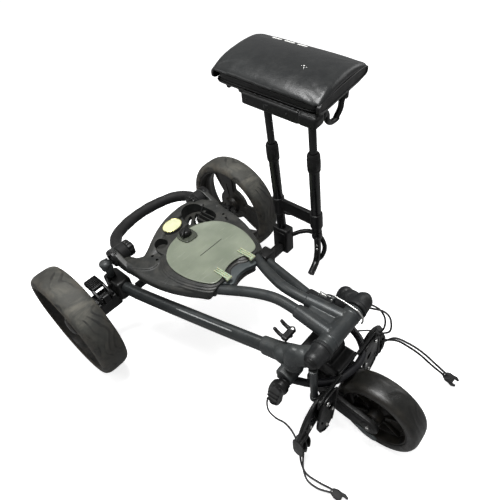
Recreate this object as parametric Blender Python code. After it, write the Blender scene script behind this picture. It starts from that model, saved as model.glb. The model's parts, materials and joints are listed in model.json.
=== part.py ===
# Golf push trolley with an attached seat, folded handle and three wheels.
# Metres, +Z up, X across the trolley, the front wheel towards -Y.
# "left" in names is the -X side, "right" the +X side.
# It is laid out from the ground point midway between the rear wheels, then moved at the
# end so that the origin is on the ground under the centre of the overall box.
import bpy
import bmesh
import math
from mathutils import Matrix, Vector

for old_object in list(bpy.data.objects):
    bpy.data.objects.remove(old_object, do_unlink=True)

# ------------------------------------------------------------ driving sizes
LEFT, RIGHT = -1, 1
SIDES = (LEFT, RIGHT)
GAP = 0.0004                      # working gap between separate pieces
TUBE_CLEARANCE = 0.0006           # all round the main and handle tubes

REAR_R, REAR_W = 0.145, 0.067     # wheel radius, tyre width
REAR_BEAD = 0.1216                # tyre bore radius
TRACK = 0.551                     # between rear wheel centres
FRONT_R, FRONT_W = 0.089, 0.054
FRONT_BEAD = 0.0690
WHEELBASE = 0.646
WHEEL_X = -TRACK / 2
REAR_WHEEL = (WHEEL_X, 0, REAR_R)         # centre of the left rear wheel
FRONT_WHEEL = (0, -WHEELBASE, FRONT_R)

MAIN_W, MAIN_H = 0.026, 0.038     # oval main tube section
HANDLE_R = 0.011                  # handle tube radius
HOOP_R = 0.0075                   # cradle hoop radius

# axes that run across the trolley, as (y, z)
REAR_AXLE = (0, REAR_R)
FRONT_AXLE = (-WHEELBASE, FRONT_R)
PEDAL_PIN = (-0.020, 0.1745)
LEVER_PIN = (-0.0080, 0.2150)
BARREL = (-0.541, 0.275)          # handle folding axis
BARREL_R = 0.0185
PIVOT_BORE = 0.0064               # hole for the pivot shaft
GRIP = (-0.028, 0.270)            # grip tilting axis
STRAP_PIN = (-0.500, 0.1950)
LATCH_PIN = (-0.5020, 0.2985)
LID_HINGE = (-0.296, 0.2800)
TAB_X = 0.037                     # lid tabs either side of the middle
RIVET_X, RIVET_Z = 0.087, 0.166   # bag arm rivets
LEVER_X = -0.164

LEG_X, LEG_Z = 0.190, 0.215       # where the seat legs stand at this height
LEG_LEAN = (-0.0455, 0.030)       # x and y lean per metre of height
LEG_REAR_Y, LEG_FRONT_Y = -0.2562, -0.3615   # at LEG_Z
LEG_OUTER_R, LEG_INNER_R = 0.0112, 0.0078
# name, y at LEG_Z, outer tube bottom z, collar z, inner tube top z
LEGS = (("rear", LEG_REAR_Y, 0.2200, 0.4360, 0.5755),
        ("front", LEG_FRONT_Y, 0.2850, 0.4460, 0.5660))


# ------------------------------------------------------------ materials
def make_material(name, colour, roughness, metallic=0.0):
    material = bpy.data.materials.new(name)
    material.use_nodes = True
    shader = material.node_tree.nodes["Principled BSDF"]
    shader.inputs["Base Color"].default_value = (*colour, 1.0)
    shader.inputs["Roughness"].default_value = roughness
    shader.inputs["Metallic"].default_value = metallic
    material.diffuse_color = (*colour, 1.0)
    return material


PAINT = make_material("frame_paint", colour=(0.045, 0.052, 0.052), roughness=0.45, metallic=0.35)
PLASTIC = make_material("black_plastic", colour=(0.022, 0.023, 0.022), roughness=0.55)
CONSOLE = make_material("console_plastic", colour=(0.035, 0.038, 0.036), roughness=0.5)
RUBBER = make_material("tyre_rubber", colour=(0.075, 0.075, 0.065), roughness=0.85)
FOAM = make_material("grip_foam", colour=(0.03, 0.03, 0.03), roughness=0.8)
VINYL = make_material("seat_vinyl", colour=(0.035, 0.038, 0.038), roughness=0.35)
STEEL = make_material("bright_steel", colour=(0.7, 0.7, 0.68), roughness=0.3, metallic=1.0)
SMOKED = make_material("smoked_clear_plastic", colour=(0.33, 0.37, 0.28), roughness=0.35)
PALE = make_material("pale_tab_plastic", colour=(0.55, 0.58, 0.45), roughness=0.4)
CORD = make_material("elastic_cord", colour=(0.02, 0.02, 0.02), roughness=0.8)


# ------------------------------------------------------------ outlines and paths
def ellipse(half_width, half_height, count):
    angles = [2 * math.pi * k / count for k in range(count)]
    return [(half_width * math.cos(a), half_height * math.sin(a)) for a in angles]


def circle(radius, count):
    return ellipse(radius, radius, count)


def symmetric(half):
    """Half an outline or path, followed by its reflection in x = 0."""
    return half + [(-x, *rest) for x, *rest in reversed(half) if x]


def rounded_rectangle(width, length, radius, steps=4):
    points = []
    x, y = width / 2 - radius, length / 2 - radius
    for centre_x, centre_y, start in ((x, y, 0), (-x, y, 90), (-x, -y, 180), (x, -y, 270)):
        for k in range(steps + 1):
            angle = math.radians(start + 90 * k / steps)
            points.append((centre_x + radius * math.cos(angle),
                           centre_y + radius * math.sin(angle)))
    return points


def smooth_path(points, steps):
    """Catmull-Rom curve through the points."""
    P = [Vector(p) for p in points]
    P = [P[0] * 2 - P[1]] + P + [P[-1] * 2 - P[-2]]
    path = []
    for i in range(1, len(P) - 2):
        a, b, c, d = P[i - 1:i + 3]
        for k in range(steps):
            t = k / steps
            path.append(0.5 * ((2 * b) + (c - a) * t + (2 * a - 5 * b + 4 * c - d) * t * t
                               + (3 * b - a - 3 * c + d) * t ** 3))
    path.append(P[-2])
    return path


def path_frames(path, up):
    """(point, sideways, upwards) at each point of a path."""
    P = [Vector(p) for p in path]
    frames = []
    for i, point in enumerate(P):
        if i == 0:
            along = P[1] - P[0]
        elif i == len(P) - 1:
            along = P[-1] - P[-2]
        else:
            along = (P[i] - P[i - 1]).normalized() + (P[i + 1] - P[i]).normalized()
        along.normalize()
        side = along.cross(Vector(up))
        side.normalize()
        frames.append((point, side, side.cross(along).normalized()))
    return frames


# ------------------------------------------------------------ solids
# Every solid takes name, material and origin as **piece; the default is a throwaway tool.
def add_mesh(verts, faces, name="tool", material=None, origin=(0, 0, 0)):
    origin = Vector(origin)
    mesh = bpy.data.meshes.new(name)
    mesh.from_pydata([tuple(Vector(v) - origin) for v in verts], [], [tuple(f) for f in faces])
    bm = bmesh.new()
    bm.from_mesh(mesh)
    bmesh.ops.remove_doubles(bm, verts=bm.verts, dist=1e-6)
    bmesh.ops.recalc_face_normals(bm, faces=bm.faces)
    if bm.calc_volume(signed=True) < 0:
        bmesh.ops.reverse_faces(bm, faces=bm.faces)
    bm.to_mesh(mesh)
    bm.free()
    ob = bpy.data.objects.new(name, mesh)
    ob.location = origin
    bpy.context.scene.collection.objects.link(ob)
    if material is not None:
        mesh.materials.append(material)
    return ob


def loft(rings, loop=False, **piece):
    """Skin over equal rings; capped, or joined last to first if loop."""
    size, count = len(rings[0]), len(rings)
    faces = []
    for i in range(count if loop else count - 1):
        a, b = i * size, (i + 1) % count * size
        for j in range(size):
            k = (j + 1) % size
            faces.append((a + j, a + k, b + k, b + j))
    if not loop:
        faces.append(range(size))
        faces.append(range((count - 1) * size, count * size))
    return add_mesh([p for ring in rings for p in ring], faces, **piece)


def section_ring(frame, section, scale=1.0):
    point, side, up = frame
    return [point + side * (a * scale) + up * (b * scale) for a, b in section]


def sweep(path, section, up=(0, 0, 1), scales=None, **piece):
    scales = scales or [1.0] * len(path)
    rings = [section_ring(frame, section, scale)
             for frame, scale in zip(path_frames(path, up), scales)]
    return loft(rings, **piece)


def pipe(path, outer_radius, inner_radius, count, **piece):
    frames = path_frames(path, (0, 1, 0))
    outside = [section_ring(f, circle(outer_radius, count)) for f in frames]
    inside = [section_ring(f, circle(inner_radius, count)) for f in reversed(frames)]
    return loft(outside + inside, loop=True, **piece)


ALONG_X = Matrix(((0, 0, 1), (1, 0, 0), (0, 1, 0)))
ALONG_Z = Matrix.Identity(3)


def lathe(profile, centre, count, turn=ALONG_X, **piece):
    """Turned solid; profile is (radius, height), a closed loop or ending on the axis."""
    piece.setdefault("origin", centre)
    verts, rings = [], []
    for radius, height in profile:
        on_axis = radius < 1e-9
        section = [(0, 0)] if on_axis else circle(radius, count)
        rings.append(range(len(verts), len(verts) + len(section)))
        verts += [Vector(centre) + turn @ Vector((a, b, height)) for a, b in section]
    faces = []
    for A, B in zip(rings, rings[1:] + rings[:1]):
        if len(A) == 1 and len(B) == 1:
            continue
        for j in range(count):
            k = (j + 1) % count
            if len(A) == 1:
                faces.append((A[0], B[k], B[j]))
            elif len(B) == 1:
                faces.append((A[j], A[k], B[0]))
            else:
                faces.append((A[j], A[k], B[k], B[j]))
    return add_mesh(verts, faces, **piece)


def cylinder(start, end, radius, count, end_radius=None, bevel=0.0, **piece):
    piece.setdefault("origin", (0, 0, 0))
    axis = Vector(end) - Vector(start)
    length = axis.length
    turn = axis.to_track_quat('Z', 'Y').to_matrix()
    if end_radius is None:
        end_radius = radius
    if bevel > 0:
        profile = [(0, 0), (radius - bevel, 0), (radius, bevel),
                   (end_radius, length - bevel), (end_radius - bevel, length), (0, length)]
    else:
        profile = [(0, 0), (radius, 0), (end_radius, length), (0, length)]
    return lathe(profile, start, count, turn, **piece)


def rod_x(x0, x1, axis, radius, count, **rest):
    """Cylinder along X about the (y, z) axis."""
    return cylinder((x0, *axis), (x1, *axis), radius, count, **rest)


def rod_y(y0, y1, x, z, radius, count):
    return cylinder((x, y0, z), (x, y1, z), radius, count)


def box(low, high, bevel=0.0, frame=None, **piece):
    bm = bmesh.new()
    bmesh.ops.create_cube(bm, size=1.0)
    low, high = Vector(low), Vector(high)
    for v in bm.verts:
        v.co = [(c + 0.5) * (b - a) + a for c, a, b in zip(v.co, low, high)]
    if bevel > 0:
        bmesh.ops.bevel(bm, geom=bm.edges[:], offset=bevel, segments=1,
                        affect='EDGES', profile=0.5)
    if frame is not None:
        for v in bm.verts:
            v.co = frame @ v.co
    bm.verts.index_update()
    verts = [v.co.copy() for v in bm.verts]
    faces = [[v.index for v in face.verts] for face in bm.faces]
    bm.free()
    return add_mesh(verts, faces, **piece)


PLANES = {"XY": lambda u, v, w: (u, v, w),
          "YZ": lambda u, v, w: (w, u, v),
          "XZ": lambda u, v, w: (u, w, v)}


def prism(outline, low, high, plane, bevel=0.0, **piece):
    """Outline in the plane, from low to high along the third axis; bevelled end edges."""
    place = PLANES[plane]
    ob = loft([[place(u, v, w) for u, v in outline] for w in (low, high)], **piece)
    if bevel > 0:
        bm = bmesh.new()
        bm.from_mesh(ob.data)
        ends = [e for e in bm.edges if any(len(f.verts) == len(outline) for f in e.link_faces)]
        bmesh.ops.bevel(bm, geom=ends, offset=bevel, segments=1, affect='EDGES')
        bm.to_mesh(ob.data)
        bm.free()
    return ob


def combine(target, tools, operation):
    """Boolean each tool into the target, delete the tools, then clean the mesh once."""
    materials = list(target.data.materials)
    for tool in tools:
        modifier = target.modifiers.new("boolean", 'BOOLEAN')
        modifier.operation = operation
        modifier.solver = 'EXACT'
        modifier.object = tool
        bpy.context.view_layer.update()
        depsgraph = bpy.context.evaluated_depsgraph_get()
        mesh = bpy.data.meshes.new_from_object(target.evaluated_get(depsgraph))
        target.modifiers.clear()
        old_mesh = target.data
        mesh_name = old_mesh.name
        target.data = mesh
        bpy.data.meshes.remove(old_mesh)
        mesh.name = mesh_name
    mesh = target.data
    mesh.materials.clear()
    for material in materials:
        mesh.materials.append(material)
    bm = bmesh.new()
    bm.from_mesh(mesh)
    for face in bm.faces:
        face.material_index = 0
    bmesh.ops.remove_doubles(bm, verts=bm.verts, dist=2e-5)
    bmesh.ops.dissolve_degenerate(bm, dist=1e-5, edges=bm.edges)
    bm.to_mesh(mesh)
    bm.free()
    for tool in tools:
        bpy.data.objects.remove(tool, do_unlink=True)


def join(target, *tools):
    combine(target, tools, 'UNION')


def cut(target, *tools):
    combine(target, tools, 'DIFFERENCE')


def mirrored(ob, name):
    """A copy reflected in the plane x = 0."""
    points = [Vector(ob.location) + v.co for v in ob.data.vertices]
    verts = [(-p.x, p.y, p.z) for p in points]
    faces = [tuple(reversed(p.vertices)) for p in ob.data.polygons]
    material = ob.data.materials[0] if ob.data.materials else None
    x, y, z = ob.location
    return add_mesh(verts, faces, name, material, (-x, y, z))


def tool_on_side(left_tool, side):
    """The tool as built on the left, or replaced by its reflection on the right."""
    if side == LEFT:
        return left_tool
    right_tool = mirrored(left_tool, "tool")
    bpy.data.objects.remove(left_tool, do_unlink=True)
    return right_tool


# ------------------------------------------------------------ wheels
def both_faces(half):
    """Close half a wheel profile, (radius, offset), with its reflection."""
    return half + [(radius, -offset) for radius, offset in reversed(half)]


def tyre(name, centre, radius, width, bead, wall_radius, count):
    half, depth = width / 2, radius - wall_radius
    profile = [(radius, half * 0.28), (radius - 0.10 * depth, half * 0.60),
               (radius - 0.42 * depth, half * 0.85), (wall_radius, half * 0.985),
               (bead + 0.004, half), (bead, half * 0.93)]
    return lathe(both_faces(profile), centre, count, name=name, material=RUBBER)


def window_cutter(centre, inner, outer, start, end, half_depth, chamfer=0.008):
    """Sector through the wheel web, its corners cut back."""
    def at(radius, angle):
        return (centre[1] + radius * math.cos(angle), centre[2] + radius * math.sin(angle))

    outer_trim, inner_trim = chamfer / outer, chamfer / inner
    outline = [at(outer, start + outer_trim + (end - start - 2 * outer_trim) * k / 5)
               for k in range(6)]
    outline += [at(outer - chamfer, end), at(inner + chamfer, end)]
    outline += [at(inner, end - inner_trim - (end - start - 2 * inner_trim) * k / 3)
                for k in range(4)]
    outline += [at(inner + chamfer, start), at(outer - chamfer, start)]
    return prism(outline, centre[0] - half_depth, centre[0] + half_depth, "YZ")


def rim(name, centre, bead, width, hub_radius, hub_half, web_half, bore, windows, count):
    """windows: inner radius, outer radius, first centre and half angle in degrees, number."""
    half, outer = width / 2 * 0.86, bead - GAP
    profile = [(outer, half), (outer - 0.0035, half), (outer - 0.0055, web_half),
               (hub_radius + 0.008, web_half), (hub_radius - 0.001, hub_half), (bore, hub_half)]
    ob = lathe(both_faces(profile), centre, count, name=name, material=PLASTIC)
    inner_edge, outer_edge, first, half_angle, number = windows
    cutters = []
    for k in range(number):
        middle = first + 360 // number * k
        cutters.append(window_cutter(centre, inner_edge, outer_edge,
                                     math.radians(middle - half_angle),
                                     math.radians(middle + half_angle), web_half + 0.012))
    cut(ob, *cutters)
    return ob


def build_rear_wheels():
    left_tyre = tyre("tyre_left", REAR_WHEEL, REAR_R, REAR_W, REAR_BEAD,
                     wall_radius=0.131, count=32)
    left_rim = rim("rim_left", REAR_WHEEL, REAR_BEAD, REAR_W, hub_radius=0.027, hub_half=0.0225,
                   web_half=0.005, bore=0.0068, windows=(0.048, 0.109, 14, 41, 3), count=32)
    cap_profile = [(0, -0.0290), (0.0120, -0.0285), (0.0210, -0.0262), (0.0225, -0.0230),
                   (0, -0.0230)]
    left_cap = lathe(cap_profile, REAR_WHEEL, 18, name="hub_cap_left", material=PLASTIC)
    mirrored(left_tyre, "tyre_right")
    mirrored(left_rim, "rim_right")
    mirrored(left_cap, "hub_cap_right")


def build_front_wheel():
    tyre("tyre_front", FRONT_WHEEL, FRONT_R, FRONT_W, FRONT_BEAD, wall_radius=0.0815, count=28)
    rim("rim_front", FRONT_WHEEL, FRONT_BEAD, FRONT_W, hub_radius=0.016, hub_half=0.0285,
        web_half=0.004, bore=0.0052, windows=(0.026, 0.055, 0, 22, 6), count=28)


# ------------------------------------------------------------ main frame
# left main tube centre line, from the rear forwards: x, y, z
MAIN_PATH = [(-0.156, 0.004, 0.181), (-0.1535, -0.040, 0.182), (-0.1480, -0.078, 0.183),
             (-0.1405, -0.115, 0.184), (-0.1020, -0.300, 0.192), (-0.0700, -0.452, 0.200)]


def build_main_tubes():
    left = sweep(MAIN_PATH, ellipse(MAIN_W / 2, MAIN_H / 2, 14),
                 name="main_tube_left", material=PAINT, origin=MAIN_PATH[0])
    mirrored(left, "main_tube_right")


def main_tube_cutter(side):
    """Clearance for a main tube, a little longer than the tube at both ends."""
    rear, front = Vector(MAIN_PATH[0]), Vector(MAIN_PATH[-1])
    rearwards = (rear - Vector(MAIN_PATH[1])).normalized()
    forwards = (front - Vector(MAIN_PATH[-2])).normalized()
    path = [rear + rearwards * 0.0003, *MAIN_PATH[1:-1], front + forwards * 0.0008]
    section = ellipse(MAIN_W / 2 + TUBE_CLEARANCE, MAIN_H / 2 + TUBE_CLEARANCE, 14)
    return tool_on_side(sweep(path, section), side)


def build_rear_cross_tube():
    axis = (-0.062, 0.183)
    tube = rod_x(-0.165, 0.165, axis, 0.0095, 12,
                 name="rear_cross_tube", material=PAINT, origin=(0, *axis))
    cut(tube, main_tube_cutter(LEFT), main_tube_cutter(RIGHT))
    # keep only the span between the main tubes
    bm = bmesh.new()
    bm.from_mesh(tube.data)
    bmesh.ops.delete(bm, geom=[v for v in bm.verts if abs(v.co.x) > 0.1495], context='VERTS')
    bm.to_mesh(tube.data)
    bm.free()


# lug under the brake pedal: y, z
PEDAL_LUG = [(-0.030, 0.164), (-0.010, 0.164), (-0.0135, 0.1780), (-0.0170, 0.1815),
             (-0.0230, 0.1815), (-0.0265, 0.1780)]


def build_axle_brackets():
    """Arm with stub axle, socket on the tube end and pedal lug; lever post on the left."""
    left = box((-0.236, -0.024, 0.124), (-0.166, 0.022, 0.166), 0.003,
               name="axle_bracket_left", material=PLASTIC, origin=(WHEEL_X + 0.05, *REAR_AXLE))
    socket = box((-0.1755, -0.046, 0.150), (-0.1335, 0.017, 0.2065), 0.004)
    lug = prism(PEDAL_LUG, -0.2110, -0.1910, "YZ")
    join(left, socket, lug)
    cut(left, main_tube_cutter(LEFT), rod_x(-0.25, -0.18, PEDAL_PIN, 0.0034, 12))
    join(left, rod_x(-0.2250, WHEEL_X - 0.0225, REAR_AXLE, 0.0062, 14, bevel=0.0008))
    mirrored(left, "axle_bracket_right")
    cheeks = [box((x, -0.0140, 0.2050), (x + 0.0060, -0.0020, 0.2200), 0.0012)
              for x in (-0.1755, -0.1585)]
    pin = rod_x(LEVER_X - 0.010, LEVER_X + 0.010, LEVER_PIN, 0.0025, 12)
    join(left, *cheeks, pin)


# pedal side arm: y, z
PEDAL_ARM = [(-0.0270, 0.1705), (-0.0140, 0.1705), (0.0060, 0.1860), (0.0060, 0.1970),
             (-0.0020, 0.1970), (-0.0270, 0.1820)]


def build_brake_pedal():
    """Ribbed pad on two arms, with a pin through the bracket lug."""
    x0, x1 = -0.2185, -0.1835
    arm_width = 0.0065
    pedal = box((x0, -0.001, 0.190), (x1, 0.037, 0.2015), 0.002,
                name="brake_pedal", material=PLASTIC, origin=(-0.201, *PEDAL_PIN))
    arms = [prism(PEDAL_ARM, x, x + arm_width, "YZ") for x in (x0, x1 - arm_width)]
    pin = rod_x(-0.2150, -0.1860, PEDAL_PIN, 0.0030, 12)
    ribs = []
    for k in range(5):
        y = 0.0035 + k * 0.0073
        ribs.append(box((x0 + 0.0015, y - 0.0017, 0.2000), (x1 - 0.0015, y + 0.0017, 0.2045),
                        0.0005))
    join(pedal, *arms, pin, *ribs)


# knob of the brake lever: radius, z
LEVER_KNOB = [(0, 0.2760), (0.006, 0.2748), (0.0105, 0.2705), (0.0125, 0.2640),
              (0.0115, 0.2560), (0.0080, 0.2500), (0, 0.2490)]


def build_brake_lever():
    lever = lathe(LEVER_KNOB, (LEVER_X, LEVER_PIN[0], 0), 14, ALONG_Z,
                  name="brake_lever", material=PLASTIC, origin=(LEVER_X, *LEVER_PIN))
    arm = box((-0.1680, -0.0130, 0.2120), (-0.1600, -0.0030, 0.2520), 0.0015)
    eye = rod_x(-0.1690, -0.1590, LEVER_PIN, 0.0070, 14)
    join(lever, arm, eye)
    cut(lever, rod_x(-0.175, -0.150, LEVER_PIN, 0.0029, 12))


# ------------------------------------------------------------ head: knuckles, pivot, fork
# left knuckle centre line: x, y, z
KNUCKLE_PATH = [(-0.0745, -0.428, 0.199), (-0.0690, -0.470, 0.212),
                (-0.0700, -0.505, 0.238), (-0.0720, *BARREL)]
# lug for the strap arm pin: y, z
STRAP_LUG = [(-0.5120, 0.1860), (-0.5120, 0.2080), (-0.4880, 0.2160), (-0.4760, 0.2120),
             (-0.4760, 0.1900), (-0.4880, 0.1840)]


def build_knuckles():
    """Rounded castings from the main tube ends up to the pivot shaft."""
    path = smooth_path(KNUCKLE_PATH, 2)
    last = len(path) - 1
    scales = [1.0 + 0.10 * math.sin(math.pi * i / last) for i in range(last + 1)]
    # an ellipse squared off by raising sine and cosine to a power below one
    section = [(0.0175 * math.copysign(abs(c) ** 0.75, c),
                0.0235 * math.copysign(abs(s) ** 0.75, s)) for c, s in circle(1.0, 12)]
    left = sweep(path, section, scales=scales,
                 name="knuckle_left", material=PAINT, origin=(-0.072, *BARREL))
    join(left, rod_x(-0.0895, -0.0520, BARREL, 0.0215, 18, bevel=0.002))
    cut(left, main_tube_cutter(LEFT), rod_x(-0.12, 0.0, BARREL, PIVOT_BORE, 14))
    right = mirrored(left, "knuckle_right")
    for side, knuckle in ((LEFT, left), (RIGHT, right)):
        join(knuckle, prism(STRAP_LUG, *sorted((side * 0.0700, side * 0.1105)), "YZ", 0.002))
        cut(knuckle, rod_x(side * 0.0955, side * 0.15, STRAP_PIN, 0.0046, 12))


def build_pivot():
    """Shaft through knuckles and yoke, with domed end caps."""
    rod_x(-0.0890, 0.0890, BARREL, 0.0060, 14, bevel=0.0006,
          name="pivot_shaft", material=STEEL, origin=(0, *BARREL))
    cap_profile = [(0, -0.0075), (0.010, -0.0070), (0.0165, -0.0045), (0.0190, -0.0010),
                   (0.0190, 0.0), (0, 0.0)]
    left = lathe(cap_profile, (-0.0899, *BARREL), 20, name="pivot_cap_left", material=PLASTIC)
    mirrored(left, "pivot_cap_right")


# left handle tube centre line, from the yoke rearwards: x, y, z
HANDLE_PATH = [(-0.0210, -0.5150, 0.2800), (-0.0185, -0.4900, 0.2795),
               (-0.0158, -0.4500, 0.2785), (-0.0155, -0.4150, 0.2775),
               (-0.0200, -0.3850, 0.2745), (-0.0330, -0.3450, 0.2690),
               (-0.0500, -0.3050, 0.2620), (-0.0660, -0.2710, 0.2568),
               (-0.0770, -0.2480, 0.2548)]


def build_handle_tubes():
    left = sweep(HANDLE_PATH, circle(HANDLE_R, 12),
                 name="handle_tube_left", material=PAINT, origin=HANDLE_PATH[0])
    mirrored(left, "handle_tube_right")


def handle_tube_cutter(side):
    return tool_on_side(sweep(HANDLE_PATH, circle(HANDLE_R + TUBE_CLEARANCE, 12)), side)


def build_handle_yoke():
    """Barrel between the knuckles with two tube sockets and a lug for the wire latch."""
    yoke = rod_x(-0.0512, 0.0512, BARREL, BARREL_R, 20, bevel=0.0015,
                 name="handle_yoke", material=PAINT, origin=(0, *BARREL))
    sockets = [cylinder((side * 0.0225, -0.5350, 0.2790), (side * 0.0160, -0.4560, 0.2786),
                        0.0150, 16, end_radius=0.0142, bevel=0.0012) for side in SIDES]
    join(yoke, *sockets, box((-0.0200, -0.5350, 0.2690), (0.0200, -0.4700, 0.2860), 0.002))
    join(yoke, box((0.0318, -0.5065, 0.2800), (0.0388, -0.4970, 0.3030), 0.0012))
    cut(yoke, handle_tube_cutter(LEFT), handle_tube_cutter(RIGHT),
        rod_x(-0.12, 0.12, BARREL, PIVOT_BORE, 14), rod_x(0.028, 0.045, LATCH_PIN, 0.0017, 10))


# wire latch centre line: x, y, z
LATCH_PATH = [(0.0412, -0.5008, 0.2985), (0.0412, -0.5160, 0.2985), (0.0400, -0.5400, 0.2978),
              (0.0386, -0.5540, 0.2960), (0.0376, -0.5640, 0.2880), (0.0374, -0.5660, 0.2780),
              (0.0374, -0.5640, 0.2700)]


def build_wire_latch():
    """Bent wire over the yoke, with a cross pin and its head."""
    wire_radius = 0.0013
    latch = sweep(smooth_path(LATCH_PATH, 2), circle(wire_radius, 8), up=(1, 0, 0),
                  name="wire_latch", material=STEEL, origin=(0.0353, *LATCH_PIN))
    join(latch, rod_x(0.0295, 0.0418, LATCH_PIN, wire_radius, 10),
         rod_x(0.0288, 0.0310, LATCH_PIN, 0.0024, 10))


# head block side outline: y, z
HEAD_OUTLINE = [(-0.4700, 0.170), (-0.4700, 0.205), (-0.4950, 0.240), (-0.5180, 0.2480),
                (-0.5480, 0.2400), (-0.5600, 0.2200), (-0.5620, 0.150), (-0.5400, 0.128),
                (-0.4950, 0.128)]
# hoop in front of the head: x, y, z
HOOP_PATH = smooth_path(symmetric([
    (-0.1040, -0.480, 0.150), (-0.1000, -0.508, 0.152), (-0.0840, -0.5420, 0.156),
    (-0.0560, -0.5660, 0.160), (-0.0200, -0.5750, 0.163)]), 2)


def build_head_block():
    """Block between the knuckles and under the yoke, grooved for the cradle hoop."""
    block = prism(HEAD_OUTLINE, -0.0380, 0.0380, "YZ", 0.004,
                  name="head_block", material=PAINT, origin=(0, -0.52, 0.18))
    join(block, box((-0.0475, -0.5150, 0.196), (0.0475, -0.4850, 0.228), 0.003))
    cut(block, sweep(HOOP_PATH, circle(HOOP_R + GAP, 10)))


# fork arm side outline: y, z
FORK_ARM = [(-0.5380, 0.1230), (-0.5380, 0.0900), (-0.5700, 0.0760), (-0.6250, 0.0730),
            (-0.6440, 0.0720), (-0.6560, 0.0750), (-0.6630, 0.0850), (-0.6630, 0.0940),
            (-0.6560, 0.1030), (-0.6440, 0.1060), (-0.6100, 0.1020), (-0.5700, 0.1080)]
FORK_HALF_WIDTH = 0.0455


def build_fork():
    fork = box((-FORK_HALF_WIDTH, -0.5400, 0.0900), (FORK_HALF_WIDTH, -0.4980, 0.1275), 0.004,
               name="front_fork", material=PLASTIC, origin=(0, -0.52, 0.108))
    arms = [prism(FORK_ARM, *sorted((side * 0.0345, side * FORK_HALF_WIDTH)), "YZ", 0.0015)
            for side in SIDES]
    join(fork, *arms)
    cut(fork, rod_x(-0.06, 0.06, FRONT_AXLE, 0.0052, 14))


def build_front_axle():
    axle = rod_x(-0.0480, 0.0480, FRONT_AXLE, 0.0048, 14,
                 name="front_axle", material=STEEL, origin=FRONT_WHEEL)
    nuts = [rod_x(side * (FORK_HALF_WIDTH + GAP), side * 0.0505, FRONT_AXLE, 0.0085, 6)
            for side in SIDES]
    join(axle, *nuts)


# ------------------------------------------------------------ lower bag cradle
def build_cradle_hoop():
    sweep(HOOP_PATH, circle(HOOP_R, 10),
          name="cradle_hoop", material=PAINT, origin=(0, -0.575, 0.163))


# front outline of the bag bracket, left half: x, z
BRACKET_HALF = [(-0.0740, 0.1715), (-0.078, 0.150), (-0.092, 0.150), (-0.104, 0.158),
                (-0.104, 0.1860)]


def build_bag_bracket():
    """Plate on the front of the head block, with an ear behind its left end."""
    bracket = prism(symmetric(BRACKET_HALF), -0.5720, -0.5660, "XZ", 0.001,
                    name="bag_bracket", material=PLASTIC, origin=(0, -0.569, 0.179))
    boss = box((-0.030, -0.5680, 0.1735), (0.030, -0.5625, 0.1845))
    ear = box((-0.104, -0.5710, 0.1750), (-0.088, -0.5460, 0.1850), 0.001)
    join(bracket, boss, ear)
    cut(bracket, *[rod_y(-0.60, -0.55, side * RIVET_X, RIVET_Z, 0.0034, 12) for side in SIDES])


def build_support_strut():
    """Short rod up from the bracket ear."""
    cylinder((-0.0985, -0.5465, 0.2510), (-0.0962, -0.5535, 0.1860), 0.0062, 12, bevel=0.0006,
             name="support_strut", material=PAINT, origin=(-0.097, -0.550, 0.215))


# left bag arm, front outline: x, z
BAG_ARM = [(-0.0760, 0.1740), (-0.0830, 0.1780), (-0.0920, 0.1780), (-0.1050, 0.1660),
           (-0.1310, 0.1480), (-0.1480, 0.1180), (-0.1560, 0.0860), (-0.1550, 0.0560),
           (-0.1480, 0.0390), (-0.1400, 0.0360), (-0.1330, 0.0420), (-0.1310, 0.0620),
           (-0.1320, 0.0900), (-0.1240, 0.1120), (-0.1060, 0.1260), (-0.0900, 0.1420),
           (-0.0780, 0.1560)]
# three fins behind the arm and the bar over them: low corner, high corner, bevel
BAG_ARM_FINS = [
    ((-0.1540, -0.5770, 0.0400), (-0.1490, -0.5450, 0.0980), 0.0012),
    ((-0.1440, -0.5770, 0.0380), (-0.1400, -0.5450, 0.0980), 0.0010),
    ((-0.1370, -0.5770, 0.0430), (-0.1325, -0.5450, 0.0980), 0.0010),
    ((-0.1540, -0.5770, 0.0880), (-0.1325, -0.5430, 0.0990), 0.0015)]


def build_bag_arms():
    left = prism(BAG_ARM, -0.5790, -0.5726, "XZ", 0.001,
                 name="bag_arm_left", material=PLASTIC, origin=(-RIVET_X, -0.576, RIVET_Z))
    fins = [box(low, high, bevel) for low, high, bevel in BAG_ARM_FINS]
    rivet = rod_y(-0.5740, -0.5640, -RIVET_X, RIVET_Z, 0.0030, 12)
    rivet_head = rod_y(-0.5815, -0.5780, -RIVET_X, RIVET_Z, 0.0055, 14)
    stud = rod_y(-0.5815, -0.5780, -0.120, 0.135, 0.0050, 14)
    join(left, *fins, rivet, rivet_head, stud)
    cut(left, rod_y(-0.60, -0.57, -0.138, 0.112, 0.0042, 12))
    mirrored(left, "bag_arm_right")


def build_rest_pads():
    """Ribbed upright pads under the bracket ends."""
    left = box((-0.0895, -0.5700, 0.0560), (-0.0780, -0.5560, 0.1496), 0.0015,
               name="rest_pad_left", material=FOAM, origin=(-0.084, -0.563, 0.10))
    ribs = [box((-0.0910, -0.5716, z), (-0.0765, -0.5545, z + 0.0070))
            for z in (0.066, 0.082, 0.098)]
    join(left, *ribs)
    mirrored(left, "rest_pad_right")


STRAP_ARM_X = -0.1225
# left strap arm, from the top down: y, z
STRAP_ARM = [(-0.5080, 0.2020), (-0.4820, 0.1780), (-0.4620, 0.1480), (-0.4520, 0.1080),
             (-0.4600, 0.0620)]
# its section, a rectangle with cut corners: sideways, upwards
STRAP_SECTION = [(-0.0062, -0.007), (-0.0050, -0.0085), (0.0050, -0.0085), (0.0062, -0.007),
                 (0.0062, 0.007), (0.0050, 0.0085), (-0.0050, 0.0085), (-0.0062, 0.007)]


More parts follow.
